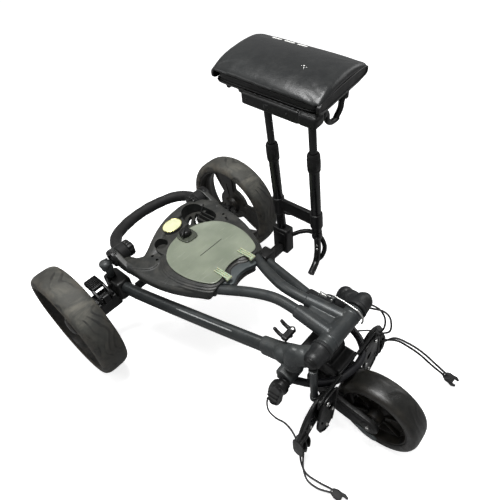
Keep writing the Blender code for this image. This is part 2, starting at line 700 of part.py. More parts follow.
def build_strap_arms():
    """Tapering arms hung from the knuckle lugs, each with a pin and two teeth."""
    path = smooth_path([(STRAP_ARM_X, y, z) for y, z in STRAP_ARM], 3)
    last = len(path) - 1
    left = sweep(path, STRAP_SECTION, up=(1, 0, 0),
                 scales=[1.25 - 0.35 * i / last for i in range(last + 1)],
                 name="strap_arm_left", material=PLASTIC, origin=(STRAP_ARM_X, *STRAP_PIN))
    teeth = [box((-0.1295, y, z), (-0.1155, y + 0.0240, z + 0.0080), 0.0015)
             for y, z in ((-0.4620, 0.0560), (-0.4560, 0.0960))]
    join(left, *teeth, rod_x(-0.1200, -0.1010, STRAP_PIN, 0.0042, 12))
    mirrored(left, "strap_arm_right")


# prong of the strap clip: y, z
CLIP_PRONG = [(-0.4580, 0.2450), (-0.4420, 0.2520), (-0.4370, 0.2600), (-0.4410, 0.2620),
              (-0.4480, 0.2560), (-0.4580, 0.2530)]


def build_strap_clip():
    """Two-pronged clip on a short bar beside the left handle tube."""
    clip = box((-0.0690, -0.4700, 0.2440), (-0.0360, -0.4560, 0.2540), 0.002,
               name="strap_clip", material=PLASTIC, origin=(-0.050, -0.463, 0.249))
    join(clip, *[prism(CLIP_PRONG, x, x + 0.005, "YZ") for x in (-0.0670, -0.0450)])
    join(clip, cylinder((-0.0460, -0.4630, 0.2340), (-0.0460, -0.4630, 0.2460), 0.0040, 12))


# ------------------------------------------------------------ console
# plan outlines, right half from the front to the rear: x, y
CONSOLE_BASE = [(0, -0.300), (0.035, -0.303), (0.062, -0.300), (0.088, -0.290),
                (0.108, -0.272), (0.122, -0.245), (0.136, -0.205), (0.146, -0.160),
                (0.150, -0.115), (0.1500, -0.070), (0.1470, -0.058), (0.1100, -0.0535),
                (0.085, -0.0525), (0.078, -0.046), (0.045, -0.034), (0, -0.030)]
CONSOLE_TIER = [(0, -0.286), (0.050, -0.292), (0.078, -0.284), (0.097, -0.262),
                (0.111, -0.220), (0.119, -0.180), (0.119, -0.145), (0.110, -0.110),
                (0.092, -0.080), (0.065, -0.058), (0.035, -0.046), (0, -0.042)]
LID_HALF = [(0, -0.262), (0.018, -0.266), (0.030, -0.276), (0.050, -0.283), (0.068, -0.276),
            (0.080, -0.256), (0.092, -0.222), (0.097, -0.190), (0.093, -0.160),
            (0.078, -0.136), (0.055, -0.117), (0.028, -0.106), (0, -0.103)]
# cheek that carries the grip: y, z
GRIP_CHEEK = [(-0.075, 0.2465), (-0.0400, 0.2465), (-0.0180, 0.2510), (-0.0080, 0.2610),
              (-0.0080, 0.2780), (-0.0170, 0.2870), (-0.0360, 0.2870), (-0.0550, 0.2790),
              (-0.075, 0.2680)]
# round rail along the right edge: x, y, z
SIDE_RAIL = [(0.0860, -0.2330, 0.2540), (0.1100, -0.2000, 0.2545), (0.1300, -0.1550, 0.2555),
             (0.1380, -0.1100, 0.2565), (0.1385, -0.0700, 0.2590)]
# ridge along the rear edge, left half, and its section
CREST_HALF = [(-0.0940, -0.0760, 0.2700), (-0.0700, -0.0610, 0.2780),
              (-0.0380, -0.0500, 0.2850), (0, -0.0460, 0.2880)]
CREST_SECTION = [(-0.0130, -0.0080), (0.0130, -0.0080), (0.0130, 0.0020), (0.0090, 0.0060),
                 (-0.0090, 0.0060), (-0.0130, 0.0020)]
# curved opening at the rear right: x, y
REAR_OPENING = [(0.050, -0.066), (0.074, -0.074), (0.092, -0.094), (0.097, -0.122),
                (0.090, -0.126), (0.074, -0.108), (0.048, -0.094), (0.040, -0.080)]


def build_console():
    console = prism(symmetric(CONSOLE_BASE), 0.2460, 0.2620, "XY", 0.0025,
                    name="console", material=CONSOLE, origin=(0, -0.17, 0.25))
    parts = [prism(symmetric(CONSOLE_TIER), 0.2560, 0.2780, "XY", 0.003)]
    for side in SIDES:
        parts.append(prism(GRIP_CHEEK, *sorted((side * 0.1346, side * 0.1475)), "YZ", 0.0015))
        # sleeve round the end of the handle tube
        parts.append(cylinder((side * 0.0655, -0.2725, 0.2568),
                              (side * 0.0870, -0.2270, 0.2530), 0.0152, 14))
        rail = smooth_path([(side * x, y, z) for x, y, z in SIDE_RAIL], 2)
        parts.append(sweep(rail, circle(0.0125, 10)))
    # a pair of hinge posts for each lid tab
    for side in SIDES:
        for offset in (-0.0085, 0.0085):
            x = side * TAB_X + offset
            parts.append(box((x - 0.0018, -0.3005, 0.2600), (x + 0.0018, -0.2915, 0.2830),
                             0.0006))
    parts.append(sweep(smooth_path(symmetric(CREST_HALF), 2), CREST_SECTION))
    join(console, *parts)

    cutters = [handle_tube_cutter(LEFT), handle_tube_cutter(RIGHT)]
    cutters.append(prism(REAR_OPENING, 0.22, 0.30, "XY"))
    # round recess and two small through holes on the left
    cutters.append(cylinder((-0.070, -0.088, 0.2680), (-0.070, -0.088, 0.30), 0.0130, 20))
    cutters += [cylinder((-0.098, y, 0.22), (-0.098, y, 0.30), 0.0030, 10)
                for y in (-0.112, -0.126)]
    for side in SIDES:
        cutters.append(rod_x(side * 0.12, side * 0.16, GRIP, 0.0045, 10))
        cutters.append(rod_x(side * TAB_X - 0.02, side * TAB_X + 0.02, LID_HINGE, 0.0016, 10))
    cut(console, *cutters)


def build_scorecard_lid():
    prism(symmetric(LID_HALF), 0.2795, 0.2820, "XY",
          name="scorecard_lid", material=SMOKED, origin=(0, *LID_HINGE))


def build_lid_tabs():
    left = box((-0.0420, -0.2960, 0.2824), (-0.0320, -0.2600, 0.2850), 0.0006,
               name="lid_tab_left", material=PALE, origin=(-TAB_X, *LID_HINGE))
    knuckle = rod_x(-TAB_X - 0.006, -TAB_X + 0.006, LID_HINGE, 0.0040, 12)
    pin = rod_x(-TAB_X - 0.010, -TAB_X + 0.010, LID_HINGE, 0.0012, 10)
    join(left, knuckle, pin)
    mirrored(left, "lid_tab_right")


def build_lid_knob():
    """Small knob on a disc near the rear of the lid."""
    profile = [(0, 0), (0.0165, 0), (0.0165, 0.0018), (0.0090, 0.0026), (0.0085, 0.0136),
               (0.0070, 0.0161), (0, 0.0166)]
    lathe(profile, (0, -0.1215, 0.2824), 18, ALONG_Z, name="lid_knob", material=PLASTIC)


# left half of the grip loop centre line: x, y, z
GRIP_HALF = [(-0.1200, -0.0240, 0.2700), (-0.1190, -0.0080, 0.2700), (-0.1125, 0.0120, 0.2690),
             (-0.0930, 0.0350, 0.2670), (-0.0650, 0.0490, 0.2650), (-0.0330, 0.0575, 0.2640),
             (0, 0.0600, 0.2640)]


def build_grip_loop():
    """Loop with round eyes at the clamp joints."""
    grip = sweep(smooth_path(symmetric(GRIP_HALF), 2), circle(0.0138, 10),
                 name="grip_loop", material=FOAM, origin=(0, *GRIP))
    join(grip, *[rod_x(side * 0.1110, side * 0.1338, GRIP, 0.0165, 16) for side in SIDES])
    cut(grip, *[rod_x(side * 0.105, side * 0.14, GRIP, 0.0045, 10) for side in SIDES])


def build_clamp_knobs():
    """Fluted knobs, each with its bolt and a round boss."""
    outline = []
    for k in range(24):
        radius = 0.0210 if k % 2 else 0.0188
        angle = 2 * math.pi * k / 24
        outline.append((radius * math.cos(angle) + GRIP[0], radius * math.sin(angle) + GRIP[1]))
    left = prism(outline, -0.1046, -0.0880, "YZ", 0.0015,
                 name="clamp_knob_left", material=PLASTIC, origin=(-0.096, *GRIP))
    bolt = rod_x(-0.1460, -0.0950, GRIP, 0.0041, 14)
    boss = rod_x(-0.0850, -0.0950, GRIP, 0.0100, 14)
    join(left, bolt, boss)
    mirrored(left, "clamp_knob_right")


# ------------------------------------------------------------ seat legs
def leg_point(y, z):
    """Point at height z on the leaning leg that stands at y."""
    lean_x, lean_y = LEG_LEAN
    return Vector((LEG_X + lean_x * (z - LEG_Z), y + lean_y * (z - LEG_Z), z))


def leg_cylinder(y, z0, z1, radius, count=16, **rest):
    return cylinder(leg_point(y, z0), leg_point(y, z1), radius, count, **rest)


def build_telescoping_legs():
    leg_turn = Vector((*LEG_LEAN, 1.0)).normalized().to_track_quat('Z', 'Y').to_matrix()
    outer_bore, inner_bore = LEG_OUTER_R + GAP, LEG_INNER_R + GAP
    # radius, height up the leg; the step sits just above the outer tube's end
    collar_profile = [(outer_bore, 0), (0.0128, 0), (0.0134, 0.002), (0.0134, 0.036),
                      (0.0120, 0.0410), (inner_bore, 0.0410), (inner_bore, 0.0256),
                      (outer_bore, 0.0256)]
    for name, y, bottom, collar, top in LEGS:
        foot = leg_point(y, bottom)
        pipe([foot, leg_point(y, collar + 0.0250)], LEG_OUTER_R, inner_bore, 16,
             name="seat_outer_tube_" + name, material=PAINT, origin=foot)
        lathe(collar_profile, leg_point(y, collar), 16, leg_turn,
              name="twist_collar_" + name, material=PLASTIC)
        leg_cylinder(y, 0.3700, top, LEG_INNER_R, 14, bevel=0.0006,
                     name="seat_inner_tube_" + name, material=PAINT, origin=leg_point(y, top))


# cross plate between the legs: y at LEG_Z, z
CROSS_PLATE = [(LEG_REAR_Y, 0.334), (LEG_REAR_Y, 0.292), (-0.2800, 0.292), (-0.3080, 0.3040),
               (-0.3400, 0.299), (LEG_FRONT_Y, 0.2990), (LEG_FRONT_Y, 0.332)]


def build_cross_plate():
    """Leaning plate with a sleeve round each outer tube."""
    half_thickness = 0.0030
    faces = [[leg_point(y, z) + Vector((x, 0, 0)) for y, z in CROSS_PLATE]
             for x in (-half_thickness, half_thickness)]
    plate = loft(faces, name="seat_cross_plate", material=PLASTIC, origin=leg_point(-0.309, 0.33))
    for y, bottom in ((LEG_REAR_Y, 0.292), (LEG_FRONT_Y, 0.298)):
        join(plate, leg_cylinder(y, bottom, 0.336, 0.0142))
    cut(plate, *[leg_cylinder(y, 0.25, 0.40, LEG_OUTER_R + GAP)
                 for y in (LEG_REAR_Y, LEG_FRONT_Y)])


def build_seat_clamp_block():
    """Block holding the rear leg."""
    block = box((0.1755, -0.2800, 0.1700), (0.2035, -0.2360, 0.2440), 0.003,
                name="seat_clamp_block", material=PLASTIC, origin=(0.19, -0.258, 0.20))
    cut(block, leg_cylinder(LEG_REAR_Y, 0.2195, 0.30, LEG_OUTER_R + GAP))


def build_seat_link_bar():
    """Saddle on the right main tube with a bar out to the clamp block."""
    saddle = box((0.0960, -0.2780, 0.1690), (0.1330, -0.2460, 0.2180), 0.003,
                 name="seat_link_bar", material=PLASTIC, origin=(0.115, -0.262, 0.19))
    join(saddle, box((0.1280, -0.2710, 0.1780), (0.1751, -0.2510, 0.1980), 0.002))
    cut(saddle, main_tube_cutter(RIGHT))


# front foot tube; its upper end sits inside the front outer tube: x, y, z
FOOT_PATH = [leg_point(LEG_FRONT_Y, 0.3060), leg_point(LEG_FRONT_Y, 0.2300),
             (0.1885, -0.3610, 0.2090), (0.1845, -0.3622, 0.1960),
             (0.1760, -0.3645, 0.1880), (0.1500, -0.3705, 0.1800)]
# hoop from the foot tube back to the clamp block: x, y, z
FOOT_HOOP = [(0.1910, -0.2868, 0.2310), (0.1985, -0.3050, 0.2440), (0.2045, -0.3280, 0.2530),
             (0.2060, -0.3560, 0.2500), (0.2050, -0.3700, 0.2260), (0.1990, -0.3680, 0.2000),
             (0.1850, -0.3630, 0.1920)]


def build_seat_foot_frame():
    """Foot tube bent towards the middle, with a hoop and a sleeve below the outer tube."""
    foot = sweep(FOOT_PATH, circle(0.0076, 12), up=(0, 1, 0),
                 name="seat_foot_frame", material=PAINT, origin=FOOT_PATH[2])
    hoop = sweep(smooth_path(FOOT_HOOP, 2), circle(0.0052, 10), up=(1, 0.2, 0))
    sleeve = leg_cylinder(LEG_FRONT_Y, 0.2650, 0.2846, 0.0118)
    join(foot, hoop, sleeve)


# ------------------------------------------------------------ seat, tipped as a unit
SEAT_FRAME = (Matrix.Translation((0.2449, -0.2439, 0.6181))
              @ Matrix.Rotation(math.radians(2.0), 4, 'Z')
              @ Matrix.Rotation(math.radians(5.0), 4, 'X')
              @ Matrix.Rotation(math.radians(-5.0), 4, 'Y'))
SEAT_W, SEAT_L = 0.168, 0.255
# layers in seat coordinates: width less, length less, corner radius, z
PAD_LAYERS = [(0.011, 0.011, 0.015, -0.0312), (0, 0, 0.019, -0.0255), (0, 0, 0.019, -0.0076),
              (0.006, 0.006, 0.019, -0.0010), (0.023, 0.023, 0.022, 0.0043),
              (0.066, 0.066, 0.028, 0.0085), (0.113, 0.132, 0.020, 0.0099)]
TRAY_LAYERS = [(0.020, 0.016, 0.012, -0.0416), (0.008, 0.006, 0.014, -0.0318)]
# blocks under the tray in seat coordinates: low corner, high corner, bevel
TRAY_BLOCKS = [((-0.0885, -0.0860, -0.0600), (-0.0400, 0.0500, -0.0340), 0.003),
               ((-0.0890, -0.1250, -0.0610), (-0.0560, -0.0820, -0.0345), 0.005),
               ((-0.0770, 0.0480, -0.0460), (-0.0480, 0.0680, -0.0350), 0.003)]
# carrying handle ends in seat coordinates: x of each lug, y and z of the pivot line
LUG_X0, LUG_X1 = -0.0450, 0.0300
LUG_Y, LUG_Z = -0.1130, -0.0500


def seat_point(x, y, z):
    return SEAT_FRAME @ Vector((x, y, z))


def seat_loft(layers, **piece):
    rings = []
    for less_width, less_length, radius, z in layers:
        outline = rounded_rectangle(SEAT_W - less_width, SEAT_L - less_length, radius)
        rings.append([seat_point(x, y, z) for x, y in outline])
    return loft(rings, **piece)


def build_seat_pad():
    seat_loft(PAD_LAYERS, name="seat_pad", material=VINYL, origin=seat_point(0, 0, -0.0312))


def build_seat_tray():
    tray = seat_loft(TRAY_LAYERS, name="seat_tray", material=PLASTIC,
                     origin=seat_point(0, 0, -0.038))
    blocks = [box(low, high, bevel, SEAT_FRAME) for low, high, bevel in TRAY_BLOCKS]
    lugs = [box((x - 0.0050, LUG_Y - 0.0070, -0.0575), (x + 0.0050, LUG_Y + 0.0070, -0.0380),
                0.002, SEAT_FRAME) for x in (LUG_X0, LUG_X1)]
    join(tray, *blocks, *lugs)
    leg_holes = [leg_cylinder(y, 0.30, top + GAP, LEG_INNER_R + GAP, 14)
                 for _, y, _, _, top in LEGS]
    handle_hole = cylinder(seat_point(LUG_X0 - 0.0010, LUG_Y, LUG_Z),
                           seat_point(LUG_X1 + 0.0010, LUG_Y, LUG_Z), 0.0053, 12)
    cut(tray, *leg_holes, handle_hole)


# carrying handle in seat coordinates: x, depth below the pivot line
HANDLE_DROP = [(LUG_X0, 0), (LUG_X0 + 0.0060, 0), (LUG_X0 + 0.0115, 0.0080),
               (LUG_X0 + 0.0150, 0.0230), (LUG_X0 + 0.0290, 0.0355),
               (LUG_X0 + 0.0500, 0.0385), (LUG_X1 - 0.0270, 0.0355),
               (LUG_X1 - 0.0135, 0.0230), (LUG_X1 - 0.0110, 0.0080), (LUG_X1 - 0.0060, 0),
               (LUG_X1, 0)]


def build_seat_handle():
    """Carrying handle hung from the two lugs under the front edge of the tray."""
    path = smooth_path([(x, LUG_Y, LUG_Z - drop) for x, drop in HANDLE_DROP], 2)
    sweep([SEAT_FRAME @ p for p in path], circle(0.0042, 8),
          up=SEAT_FRAME.to_3x3() @ Vector((0, 1, 0)), name="seat_handle", material=PLASTIC,
          origin=seat_point((LUG_X0 + LUG_X1) / 2, LUG_Y, LUG_Z))


# ------------------------------------------------------------ cords
# name, centre line (x, y, z), low and high corner of the block on its end
CORDS = [
    ("cord_left",
     [(-0.1475, -0.5620, 0.0345), (-0.1490, -0.5680, 0.0180), (-0.1530, -0.5860, 0.0060),
      (-0.1580, -0.6120, 0.0040), (-0.1600, -0.6350, 0.0050), (-0.1620, -0.6480, 0.0070)],
     (-0.1700, -0.6690, 0.0030), (-0.1540, -0.6460, 0.0110)),
    ("cord_right",
     [(0.1475, -0.5620, 0.0345), (0.1520, -0.5760, 0.0300), (0.1600, -0.6100, 0.0180),
      (0.1720, -0.6550, 0.0070), (0.1850, -0.6950, 0.0050), (0.1920, -0.7140, 0.0065)],
     (0.1840, -0.7350, 0.0030), (0.2000, -0.7120, 0.0110))]


def build_cords():
    for name, points, low, high in CORDS:
        cord = sweep(smooth_path(points, 3), circle(0.0022, 6), up=(0.3, 0.2, 1),
                     name=name, material=CORD, origin=points[0])
        join(cord, box(low, high, 0.002))


# ------------------------------------------------------------ build
for build in (
        build_rear_wheels, build_front_wheel,
        build_main_tubes, build_rear_cross_tube, build_axle_brackets, build_brake_pedal,
        build_brake_lever,
        build_knuckles, build_pivot, build_handle_tubes, build_handle_yoke, build_wire_latch,
        build_head_block, build_fork, build_front_axle,
        build_cradle_hoop, build_bag_bracket, build_support_strut, build_bag_arms,
        build_rest_pads, build_strap_arms, build_strap_clip,
        build_console, build_scorecard_lid, build_lid_tabs, build_lid_knob, build_grip_loop,
        build_clamp_knobs,
        build_telescoping_legs, build_cross_plate, build_seat_clamp_block,
        build_seat_link_bar, build_seat_foot_frame, build_seat_pad, build_seat_tray,
        build_seat_handle, build_cords):
    build()

# from the layout point to the ground under the centre of the overall box
SHIFT = Vector((-0.012734, 0.295, 0.0))
for ob in bpy.data.objects:
    ob.location = ob.location + SHIFT
    ob.data.shade_smooth()
    ob.data.set_sharp_from_angle(angle=math.radians(38))
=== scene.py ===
# Looks of a golf push trolley with a seat: detailed meshes and procedural materials that ride
# on the CAD frame. Metres, +Z up. The origin is the ground point midway between the two rear
# wheels, the single front wheel lies towards -Y, and -X is the side the names call left.
import bpy
import bmesh
import json
import math
import random
from mathutils import Matrix, Vector
from mathutils.bvhtree import BVHTree

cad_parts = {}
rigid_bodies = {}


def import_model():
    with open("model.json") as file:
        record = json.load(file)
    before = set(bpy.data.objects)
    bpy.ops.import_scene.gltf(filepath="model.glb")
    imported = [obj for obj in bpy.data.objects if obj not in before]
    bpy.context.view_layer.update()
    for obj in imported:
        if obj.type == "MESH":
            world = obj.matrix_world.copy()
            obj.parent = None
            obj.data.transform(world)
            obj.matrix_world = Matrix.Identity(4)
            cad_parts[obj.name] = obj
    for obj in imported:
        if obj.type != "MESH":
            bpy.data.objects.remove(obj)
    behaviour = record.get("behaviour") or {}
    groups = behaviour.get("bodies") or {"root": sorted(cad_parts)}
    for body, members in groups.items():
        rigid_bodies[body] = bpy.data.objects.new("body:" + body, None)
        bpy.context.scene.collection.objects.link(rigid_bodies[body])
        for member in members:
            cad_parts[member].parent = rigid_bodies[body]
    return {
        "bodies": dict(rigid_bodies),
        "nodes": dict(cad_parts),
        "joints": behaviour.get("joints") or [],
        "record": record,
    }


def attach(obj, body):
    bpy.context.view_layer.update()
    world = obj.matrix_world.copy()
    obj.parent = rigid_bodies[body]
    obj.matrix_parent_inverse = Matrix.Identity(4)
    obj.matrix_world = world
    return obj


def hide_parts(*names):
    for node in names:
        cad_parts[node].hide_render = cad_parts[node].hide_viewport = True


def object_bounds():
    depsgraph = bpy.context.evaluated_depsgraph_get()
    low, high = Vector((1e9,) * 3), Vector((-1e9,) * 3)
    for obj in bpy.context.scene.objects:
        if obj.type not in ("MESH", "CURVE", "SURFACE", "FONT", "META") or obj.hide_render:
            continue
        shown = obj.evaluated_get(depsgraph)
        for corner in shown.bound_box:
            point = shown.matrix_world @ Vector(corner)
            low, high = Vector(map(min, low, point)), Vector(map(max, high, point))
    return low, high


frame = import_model()
cad_low, cad_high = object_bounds()
# Low corner of the CAD in this script's layout; OFFSET carries each object to the CAD's origin.
LAYOUT_LOW = (-0.309, -0.735, 0.0)
OFFSET = Vector([round(a - b, 6) for a, b in zip(cad_low, LAYOUT_LOW)])
COLLECTION = bpy.context.scene.collection
NODE_BODY = {node: body for body, nodes in frame["record"]["behaviour"]["bodies"].items()
             for node in nodes}
SIDES = (("left", -1), ("right", 1))
WAYS = (-1, 1)

# ---------------------------------------------------------------- sizes shared with the frame
TRACK, WHEELBASE = 0.551, 0.646
REAR_R, REAR_W, REAR_BEAD, REAR_SIDEWALL = 0.145, 0.067, 0.1216, 0.131
FRONT_R, FRONT_W, FRONT_BEAD, FRONT_SIDEWALL = 0.089, 0.054, 0.0690, 0.0805
MAIN_W, MAIN_H = 0.026, 0.038           # oval section of the main tubes
HANDLE_R = 0.011
BARREL_Y, BARREL_Z = -0.541, 0.275      # axis the handle yoke turns on
CLAMP_Y, CLAMP_Z = -0.028, 0.270        # axis the grip loop turns on
# Seat legs: x at height LEG_Z, and the lean in x and y for each metre of height.
LEG_X, LEG_Z, LEG_LEAN_X, LEG_LEAN_Y = 0.190, 0.215, -0.0455, 0.030
LEG_REAR_Y, LEG_FRONT_Y = -0.2562, -0.3615
LEG_OUTER_R, LEG_INNER_R = 0.0112, 0.0078


# ------------------------------------------------------------------------- material helpers
class Shading:
    """A node material, with short ways to add nodes and links."""

    def __init__(self, name):
        self.material = bpy.data.materials.new(name)
        self.material.use_nodes = True
        self.tree = self.material.node_tree
        self.principled = self.tree.nodes["Principled BSDF"]

    def feed(self, node, values):
        """Link each socket in values, or set it where the value is a plain one."""
        for socket, value in values.items():
            if isinstance(value, bpy.types.NodeSocket):
                self.tree.links.new(value, node.inputs[socket])
            else:
                node.inputs[socket].default_value = value

    def node(self, kind, values, **settings):
        node = self.tree.nodes.new("ShaderNode" + kind)
        for key, value in settings.items():
            setattr(node, key, value)
        self.feed(node, values)
        return node

    def finish(self, values):
        self.feed(self.principled, values)
        return self.material

    def coordinates(self, output="Object"):
        return self.node("TexCoord", {}).outputs[output]

    def mapping(self, vector, values):
        return self.node("Mapping", {"Vector": vector, **values}).outputs[0]

    def noise(self, vector, scale, detail, roughness=0.5, distortion=0.0):
        return self.node("TexNoise", {
            "Vector": vector, "Scale": scale, "Detail": detail,
            "Roughness": roughness, "Distortion": distortion}).outputs["Fac"]

    def ramp(self, source, stops):
        """Colour ramp through stops of (position, colour)."""
        node = self.node("ValToRGB", {"Fac": source})
        elements = node.color_ramp.elements
        while len(elements) < len(stops):
            elements.new(0.5)
        for element, (position, colour) in zip(elements, stops):
            element.position = position
            element.color = (*colour, 1)
        return node.outputs["Color"]

    def mix(self, factor, first, colour):
        """Blend the linked colour first towards a plain colour."""
        node = self.node("Mix", {}, data_type='RGBA', blend_type='MIX')
        inputs = {socket.identifier: socket for socket in node.inputs}
        self.tree.links.new(factor, inputs["Factor_Float"])
        self.tree.links.new(first, inputs["A_Color"])
        inputs["B_Color"].default_value = (*colour, 1)
        return {socket.identifier: socket for socket in node.outputs}["Result_Color"]

    def remap(self, source, between, to):
        return self.node("MapRange", {
            "Value": source, "From Min": between[0], "From Max": between[1],
            "To Min": to[0], "To Max": to[1]}).outputs["Result"]

    def math(self, operation, *operands):
        return self.node("Math", dict(enumerate(operands)), operation=operation).outputs[0]

    def bump(self, height, depth, strength=1.0, over=None):
        values = {"Height": height, "Distance": depth, "Strength": strength}
        if over is not None:
            values["Normal"] = over
        return self.node("Bump", values).outputs["Normal"]


DUST = (0.20, 0.185, 0.155)


def scaled(colour, factor):
    return tuple(factor * c for c in colour)


def surface(name, colour, rough, metal=0.0, vary=0.18, scale=35, grain=1400,
            grain_depth=0.00006, lump=None, dust=DUST, dust_top=0.0, dust_side=0.0,
            scratch=0.0, specular=0.5, coat=0.0, sheen=0.0, rough_vary=0.10):
    """Moulded, painted or rubber surface: tone drift, grain bump, settled dust, scratches.

    vary and scale set the tone drift, lump is (scale, depth) of a coarse bump, and dust_top
    and dust_side are the amounts of dust on faces that look up and on the others.
    """
    sh = Shading(name)
    place = sh.coordinates()
    drift = sh.noise(place, scale=scale, detail=6.0, roughness=0.6)
    tone = sh.ramp(drift, [(0.30, [c * (1 - vary) for c in colour]),
                           (0.70, [min(1, c * (1 + vary)) for c in colour])])
    gloss = sh.remap(drift, between=(0.3, 0.7), to=(rough - rough_vary, rough + rough_vary))
    if dust_top > 0:
        geometry = sh.node("NewGeometry", {})
        normal = sh.node("SeparateXYZ", {0: geometry.outputs["Normal"]})
        patches = sh.noise(place, scale=scale * 1.7, detail=8.0, roughness=0.7, distortion=0.6)
        upward = sh.remap(normal.outputs["Z"], between=(0.1, 1.0), to=(dust_side, dust_top))
        amount = sh.math('MULTIPLY', upward,
                         sh.remap(patches, between=(0.38, 0.72), to=(0.0, 1.0)))
        tone = sh.mix(amount, tone, dust)
        gloss = sh.math('ADD', gloss, sh.math('MULTIPLY', amount, 0.25))
    if scratch > 0:
        stretched = sh.mapping(place, {"Scale": (40, 420, 160), "Rotation": (0.5, 0.3, 0.6)})
        streaks = sh.noise(stretched, scale=1.0, detail=2.0)
        amount = sh.remap(streaks, between=(0.68, 0.74), to=(0.0, scratch))
        tone = sh.mix(amount, tone, [min(1, c * 3.2 + 0.05) for c in colour])
    fine = sh.noise(place, scale=grain, detail=3.0)
    normal = sh.bump(fine, depth=grain_depth)
    if lump:
        coarse = sh.noise(place, scale=lump[0], detail=4.0)
        normal = sh.bump(coarse, depth=lump[1], over=normal)
    return sh.finish({
        "Base Color": tone, "Roughness": gloss, "Metallic": metal,
        "Specular IOR Level": specular, "Coat Weight": coat, "Coat Roughness": 0.25,
        "Sheen Weight": sheen, "Normal": normal})


def tyre_surface(name, centre, radius, shade=1.0, rough=(0.55, 0.80), tan=0.65):
    """Worn foam rubber: dusty tread, tan dirt near the shoulders, scuffs, darker bands."""
    sh = Shading(name)
    place = sh.mapping(sh.coordinates(), {"Location": [-c for c in centre]})
    swirl = sh.node("TexWave", {
        "Vector": place, "Scale": 12.0, "Distortion": 22.0, "Detail": 1.5,
        "Detail Scale": 1.1}, wave_type='BANDS').outputs["Fac"]
    drift = sh.noise(place, scale=14.0, detail=7.0, roughness=0.62, distortion=0.8)
    bands = sh.noise(place, scale=5.5, detail=3.0)
    tone = sh.ramp(drift, [(0.32, scaled((0.022, 0.023, 0.020), shade)),
                           (0.52, scaled((0.062, 0.062, 0.054), shade)),
                           (0.70, scaled((0.170, 0.162, 0.135), shade))])
    dark = sh.remap(bands, between=(0.44, 0.60), to=(0.0, 0.88))
    tone = sh.mix(dark, tone, scaled((0.020, 0.021, 0.020), shade))
    scuff = sh.remap(swirl, between=(0.72, 0.90), to=(0.0, 0.90))
    gaps = sh.noise(place, scale=20.0, detail=2.0)
    scuff = sh.math('MULTIPLY', scuff, sh.remap(gaps, between=(0.44, 0.54), to=(0.0, 1.0)))
    tone = sh.mix(scuff, tone, scaled((0.010, 0.0105, 0.010), shade))
    axes = sh.node("SeparateXYZ", {0: place})
    from_middle = sh.math('ABSOLUTE', axes.outputs["X"])
    dirt = sh.noise(place, scale=24.0, detail=6.0, roughness=0.7)
    shoulder = sh.math('MULTIPLY',
                       sh.remap(from_middle, between=(radius * 0.12, radius * 0.24),
                                to=(0.15, 1.0)),
                       sh.remap(dirt, between=(0.42, 0.68), to=(0.0, tan)))
    tone = sh.mix(shoulder, tone, (0.165, 0.140, 0.105))
    gloss = sh.remap(drift, between=(0.3, 0.7), to=rough)
    pores = sh.noise(place, scale=420.0, detail=5.0, roughness=0.7)
    normal = sh.bump(swirl, depth=0.0006, strength=0.7, over=sh.bump(pores, depth=0.00035))
    return sh.finish({"Base Color": tone, "Roughness": gloss, "Specular IOR Level": 0.55,
                      "Normal": normal})


def vinyl():
    sh = Shading("seat_vinyl")
    place = sh.coordinates()
    drift = sh.noise(place, scale=9.0, detail=4.0)
    fine = sh.noise(place, scale=55.0, detail=7.0, roughness=0.7)
    tone = sh.ramp(drift, [(0.35, (0.0085, 0.0095, 0.0100)), (0.70, (0.0150, 0.0165, 0.0165))])
    haze = sh.remap(fine, between=(0.45, 0.72), to=(0.0, 0.05))
    tone = sh.mix(haze, tone, (0.11, 0.11, 0.10))
    gloss = sh.math('ADD', sh.remap(drift, between=(0.3, 0.7), to=(0.27, 0.36)),
                    sh.remap(fine, between=(0.4, 0.7), to=(0.0, 0.08)))
    cells = sh.node("TexVoronoi", {"Vector": place, "Scale": 900.0},
                    feature='DISTANCE_TO_EDGE').outputs["Distance"]
    leather = sh.bump(cells, depth=0.00012, strength=0.5)
    folds = sh.noise(place, scale=26.0, detail=3.0, distortion=0.6)
    return sh.finish({
        "Base Color": tone, "Roughness": gloss, "Specular IOR Level": 0.5,
        "Sheen Weight": 0.05,
        "Normal": sh.bump(folds, depth=0.0011, strength=0.8, over=leather)})


def translucent_lid():
    sh = Shading("lid_translucent")
    place = sh.coordinates()
    drift = sh.noise(place, scale=16.0, detail=5.0)
    tone = sh.ramp(drift, [(0.32, (0.215, 0.245, 0.185)), (0.68, (0.290, 0.320, 0.245))])
    stretched = sh.mapping(place, {"Scale": (30, 380, 30), "Rotation": (0, 0, 0.9)})
    streaks = sh.noise(stretched, scale=1.0, detail=3.0)
    tone = sh.mix(sh.remap(streaks, between=(0.62, 0.72), to=(0.0, 0.25)), tone,
                  (0.50, 0.52, 0.42))
    gloss = sh.remap(drift, between=(0.3, 0.7), to=(0.28, 0.42))
    fine = sh.noise(place, scale=800.0, detail=3.0)
    return sh.finish({
        "Base Color": tone, "Roughness": gloss, "Transmission Weight": 0.12,
        "Subsurface Weight": 0.15, "Subsurface Radius": (0.01, 0.012, 0.008), "IOR": 1.49,
        "Normal": sh.bump(fine, depth=0.00006, strength=0.6)})


def smoked_lens():
    sh = Shading("lens_smoked")
    drift = sh.noise(sh.coordinates(), scale=90.0, detail=4.0)
    tone = sh.ramp(drift, [(0.3, (0.10, 0.11, 0.09)), (0.7, (0.20, 0.22, 0.17))])
    return sh.finish({"Base Color": tone, "Roughness": 0.12, "Transmission Weight": 0.55})


